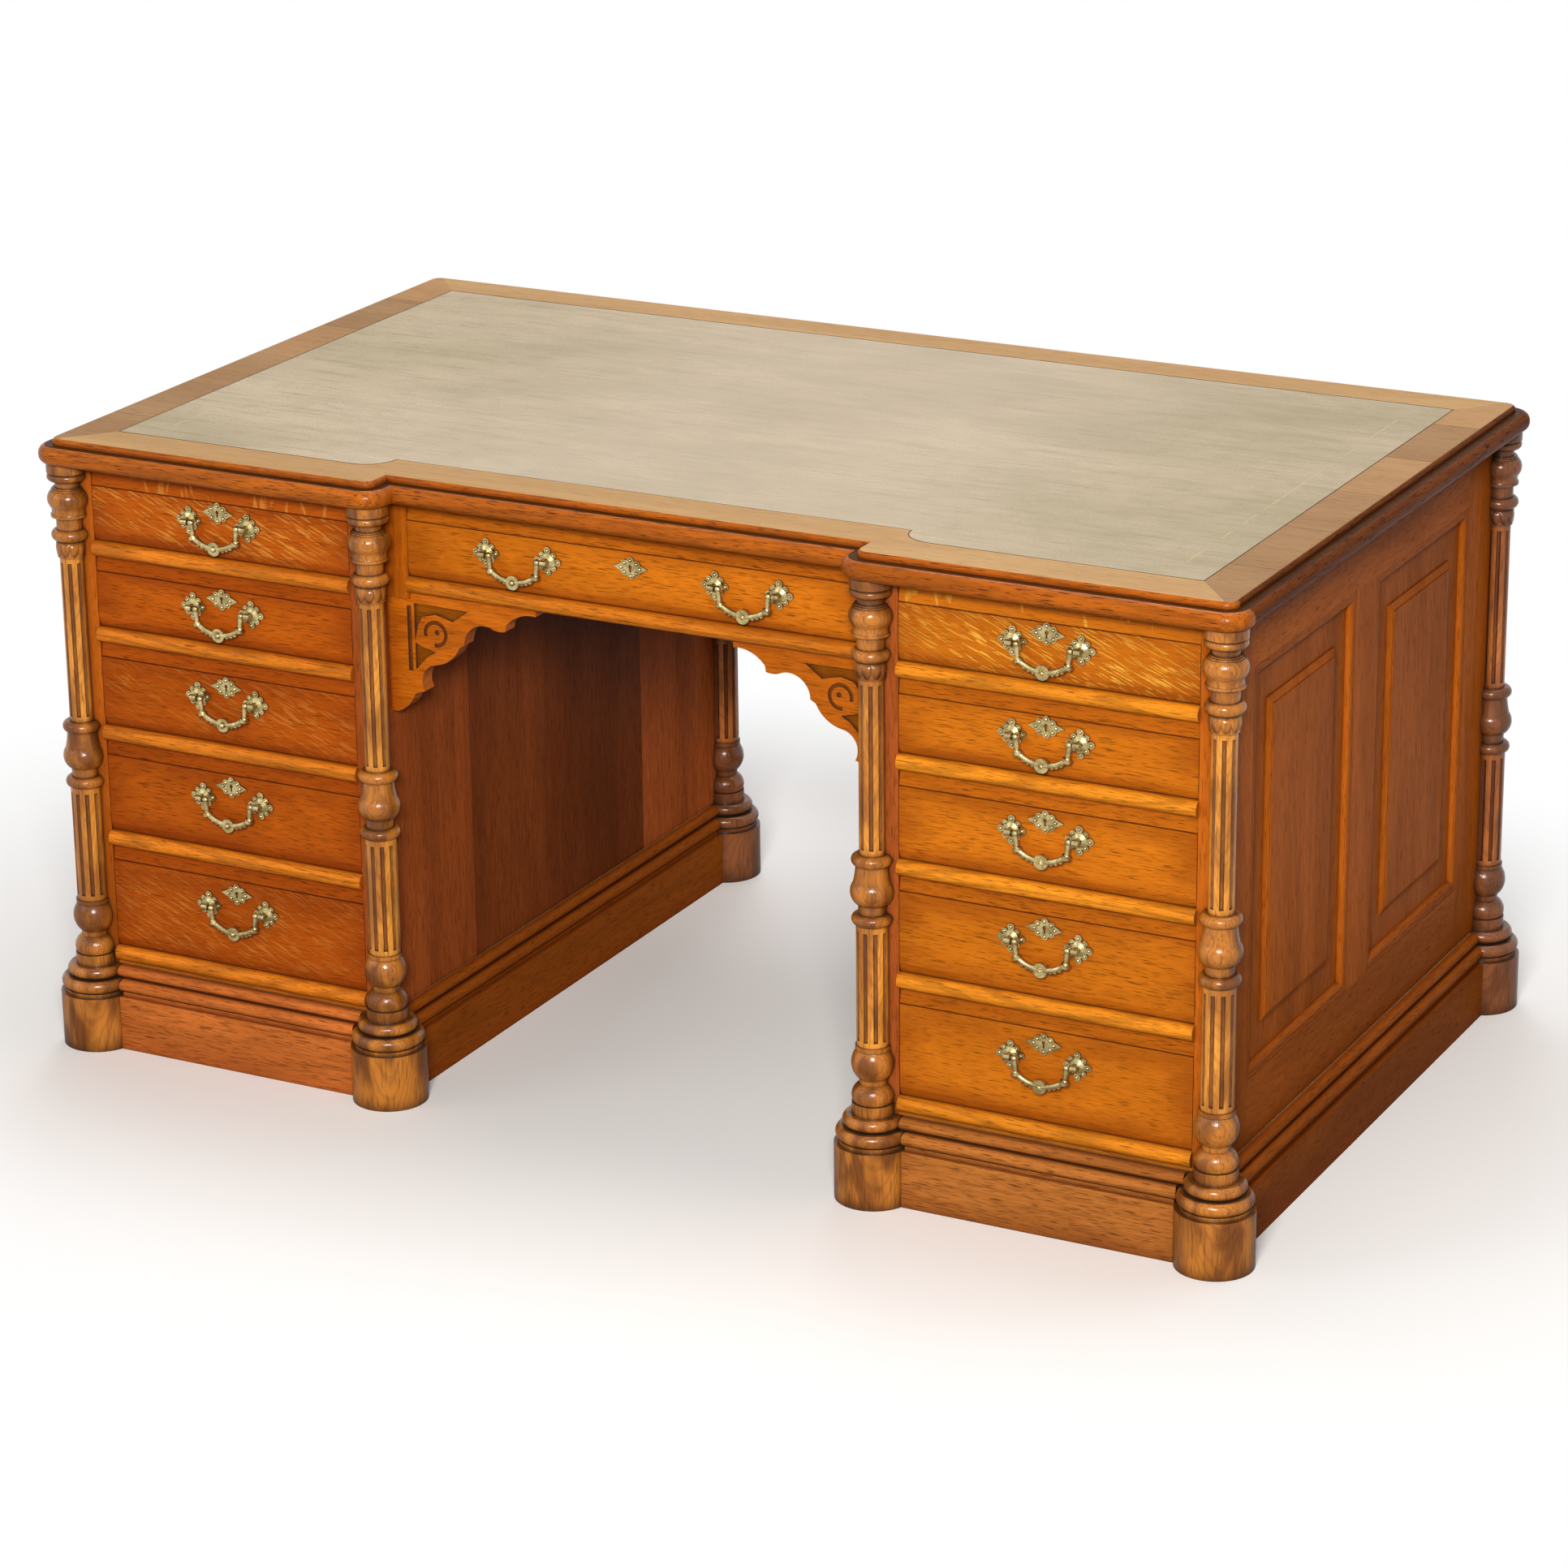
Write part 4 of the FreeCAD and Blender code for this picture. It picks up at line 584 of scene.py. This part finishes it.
def leather_line():
    """A stringing of dark wood, one millimetre wide, let in round the leather."""
    inner, outer = leather_outline(-0.0005), leather_outline(0.0006)
    foot, face = LEATHER[1].z - 0.0003, LEATHER[1].z + 0.0002
    count = len(inner)
    vertices = []
    for level in (foot, face):
        vertices += [(x, y, level) for x, y in inner] + [(x, y, level) for x, y in outer]
    faces = []
    for step in range(count):
        near, far = step, (step + 1) % count
        ring = [near, near + count, near + 3 * count, near + 2 * count]
        next_ring = [far, far + count, far + 3 * count, far + 2 * count]
        for side in range(4):
            other = (side + 1) % 4
            faces.append((ring[side], ring[other], next_ring[other], next_ring[side]))
    mesh_piece("leather_stringing", vertices, faces, OAK["ledge"], False)


def leaf_collar(name, axis_x, axis_y):
    """A ring of round tongues under a post's upper ring, left open where the post meets the pedestal."""
    leaves, steps = 8, 10
    top, root, drop = 0.6565, 0.6490, 0.0115
    bore, rim, face, bulge, tip = 0.0169, 0.0178, 0.0180, 0.0007, 0.0176
    start, sweep = math.radians(33), math.radians(294)
    inward_x = math.copysign(1, MIDDLE_X - abs(axis_x)) * math.copysign(1, axis_x)
    inside = math.atan2(-math.copysign(1, axis_y), inward_x)
    vertices, faces = [], []
    total = leaves * steps
    for step in range(total + 1):
        angle = inside + start + sweep * step / total
        along = (step % steps) / steps if step < total else 0.0
        arch = math.sqrt(max(0.0, 1 - (2 * along - 1) ** 2))
        low = root - drop * arch
        crown = face + bulge * arch
        for reach, level in ((bore, top), (rim, top), (crown, (top + low) / 2), (tip, low), (bore, low)):
            vertices.append((axis_x + reach * math.cos(angle), axis_y + reach * math.sin(angle), level))
    for step in range(total):
        for side in range(5):
            other = (side + 1) % 5
            faces.append((5 * step + side, 5 * step + other, 5 * step + 5 + other, 5 * step + 5 + side))
    faces.append(tuple(range(5)))
    faces.append(tuple(5 * total + 4 - side for side in range(5)))
    mesh_piece(name, vertices, faces, OAK["turned_front" if axis_y < 0 else "turned_back"])


leather_line()
for place_x, word_x in ((OUTER_X, "outer_right"), (INNER_X, "inner_right"), (-INNER_X, "inner_left"),
                        (-OUTER_X, "outer_left")):
    for place_y, word_y in ((-POST_Y, "front"), (POST_Y, "back")):
        leaf_collar(f"leaf_collar_{word_x}_{word_y}", place_x, place_y)


# Camera at the photograph's place

PHOTO_PIXELS, FOCAL_PIXELS, SENSOR_WIDTH = 1932.0, 6072.8, 36.0
AIM, DISTANCE = Vector((0.0424, -0.1017, 0.3565)), 6.026
AZIMUTH, ELEVATION, ROLL = 27.70, 19.60, 0.67


def place_camera():
    azimuth, elevation, roll = (math.radians(angle) for angle in (AZIMUTH, ELEVATION, ROLL))
    back = Vector((math.sin(azimuth) * math.cos(elevation), -math.cos(azimuth) * math.cos(elevation),
                   math.sin(elevation)))
    right = (-back).cross(Vector((0, 0, 1))).normalized()
    down = (-back).cross(right)
    c, s = math.cos(roll), math.sin(roll)
    right, down = c * right + s * down, c * down - s * right
    data = bpy.data.cameras.new("photo_camera")
    data.sensor_width = SENSOR_WIDTH
    data.lens = FOCAL_PIXELS / PHOTO_PIXELS * SENSOR_WIDTH
    data.clip_end = 100.0
    camera = bpy.data.objects.new("photo_camera", data)
    turn = Matrix((right, -down, back)).transposed().to_4x4()
    camera.matrix_world = Matrix.Translation(AIM + DISTANCE * back) @ turn
    scene.collection.objects.link(camera)
    scene.camera = camera


# Plain pale floor, soft studio light and a white background

def area_light(name, place, target, size, power, colour=(1, 1, 1), mirrored=True):
    data = bpy.data.lights.new(name, "AREA")
    data.shape = "RECTANGLE"
    data.size, data.size_y = size
    data.energy = power
    data.color = colour
    lamp = bpy.data.objects.new(name, data)
    lamp.visible_glossy = mirrored
    turn = (Vector(target) - Vector(place)).to_track_quat("-Z", "Y")
    lamp.matrix_world = Matrix.Translation(place) @ turn.to_matrix().to_4x4()
    scene.collection.objects.link(lamp)


def seen_white(tree):
    """One for rays that see the background from the camera, in a mirror or through glass."""
    path = tree.nodes.new("ShaderNodeLightPath")
    value = path.outputs["Is Camera Ray"]
    for name in ("Is Glossy Ray", "Is Transmission Ray"):
        add = tree.nodes.new("ShaderNodeMath")
        add.operation = "MAXIMUM"
        tree.links.new(value, add.inputs[0])
        tree.links.new(path.outputs[name], add.inputs[1])
        value = add.outputs[0]
    return value


def floor_material():
    """Pale and plain round the desk, thinning out to the white background; it throws little light up."""
    g = Graph("pale_floor")
    seen = g.node("ShaderNodeLightPath").outputs["Is Camera Ray"]
    g.put(g.shader.inputs["Base Color"], g.mix(seen, (0.40, 0.40, 0.40), (0.90, 0.90, 0.90)))
    g.shader.inputs["Roughness"].default_value = 0.8
    g.shader.inputs["Specular IOR Level"].default_value = 0.1
    oval = g.coords((1.0, 1.35, 1.0))
    reach = g.node("ShaderNodeVectorMath", {0: oval}, operation="LENGTH").outputs["Value"]
    clear = g.node("ShaderNodeBsdfTransparent").outputs[0]
    blend = g.node("ShaderNodeMixShader", {0: g.span(reach, 0.95, 1.75), 1: g.shader.outputs[0], 2: clear})
    out = g.tree.nodes["Material Output"]
    g.tree.links.new(blend.outputs[0], out.inputs["Surface"])
    return g.material


def make_world():
    world = bpy.data.worlds.new("studio")
    scene.world = world
    world.use_nodes = True
    tree = world.node_tree
    tree.nodes.clear()
    soft = tree.nodes.new("ShaderNodeBackground")
    soft.inputs["Color"].default_value = (1.0, 0.98, 0.95, 1)
    soft.inputs["Strength"].default_value = 0.13
    white = tree.nodes.new("ShaderNodeBackground")
    white.inputs["Color"].default_value = (1, 1, 1, 1)
    white.inputs["Strength"].default_value = 1.0
    blend = tree.nodes.new("ShaderNodeMixShader")
    tree.links.new(seen_white(tree), blend.inputs[0])
    tree.links.new(soft.outputs[0], blend.inputs[1])
    tree.links.new(white.outputs[0], blend.inputs[2])
    out = tree.nodes.new("ShaderNodeOutputWorld")
    tree.links.new(blend.outputs[0], out.inputs[0])


def make_floor():
    bm = bmesh.new()
    bmesh.ops.create_grid(bm, x_segments=8, y_segments=8, size=14.0)
    mesh = bpy.data.meshes.new("floor")
    bm.to_mesh(mesh)
    bm.free()
    floor = bpy.data.objects.new("floor", mesh)
    scene.collection.objects.link(floor)
    mesh.materials.append(floor_material())


def make_lamps():
    area_light("key", (2.1, -4.8, 2.75), (0, 0, 0.4), (1.5, 1.1), 362.0, (1.0, 0.97, 0.92))
    area_light("left_fill", (-3.4, -3.4, 2.6), (0, 0, 0.4), (2.4, 2.0), 24.0)
    area_light("overhead", (0.2, 0.9, 4.4), (0, 0, 0.5), (3.6, 2.6), 88.0)
    area_light("back_fill", (-2.2, 4.6, 2.4), (0, 0, 0.4), (2.4, 2.0), 70.0, mirrored=False)


place_camera()
make_world()
make_floor()
make_lamps()

scene.view_settings.view_transform = "Standard"
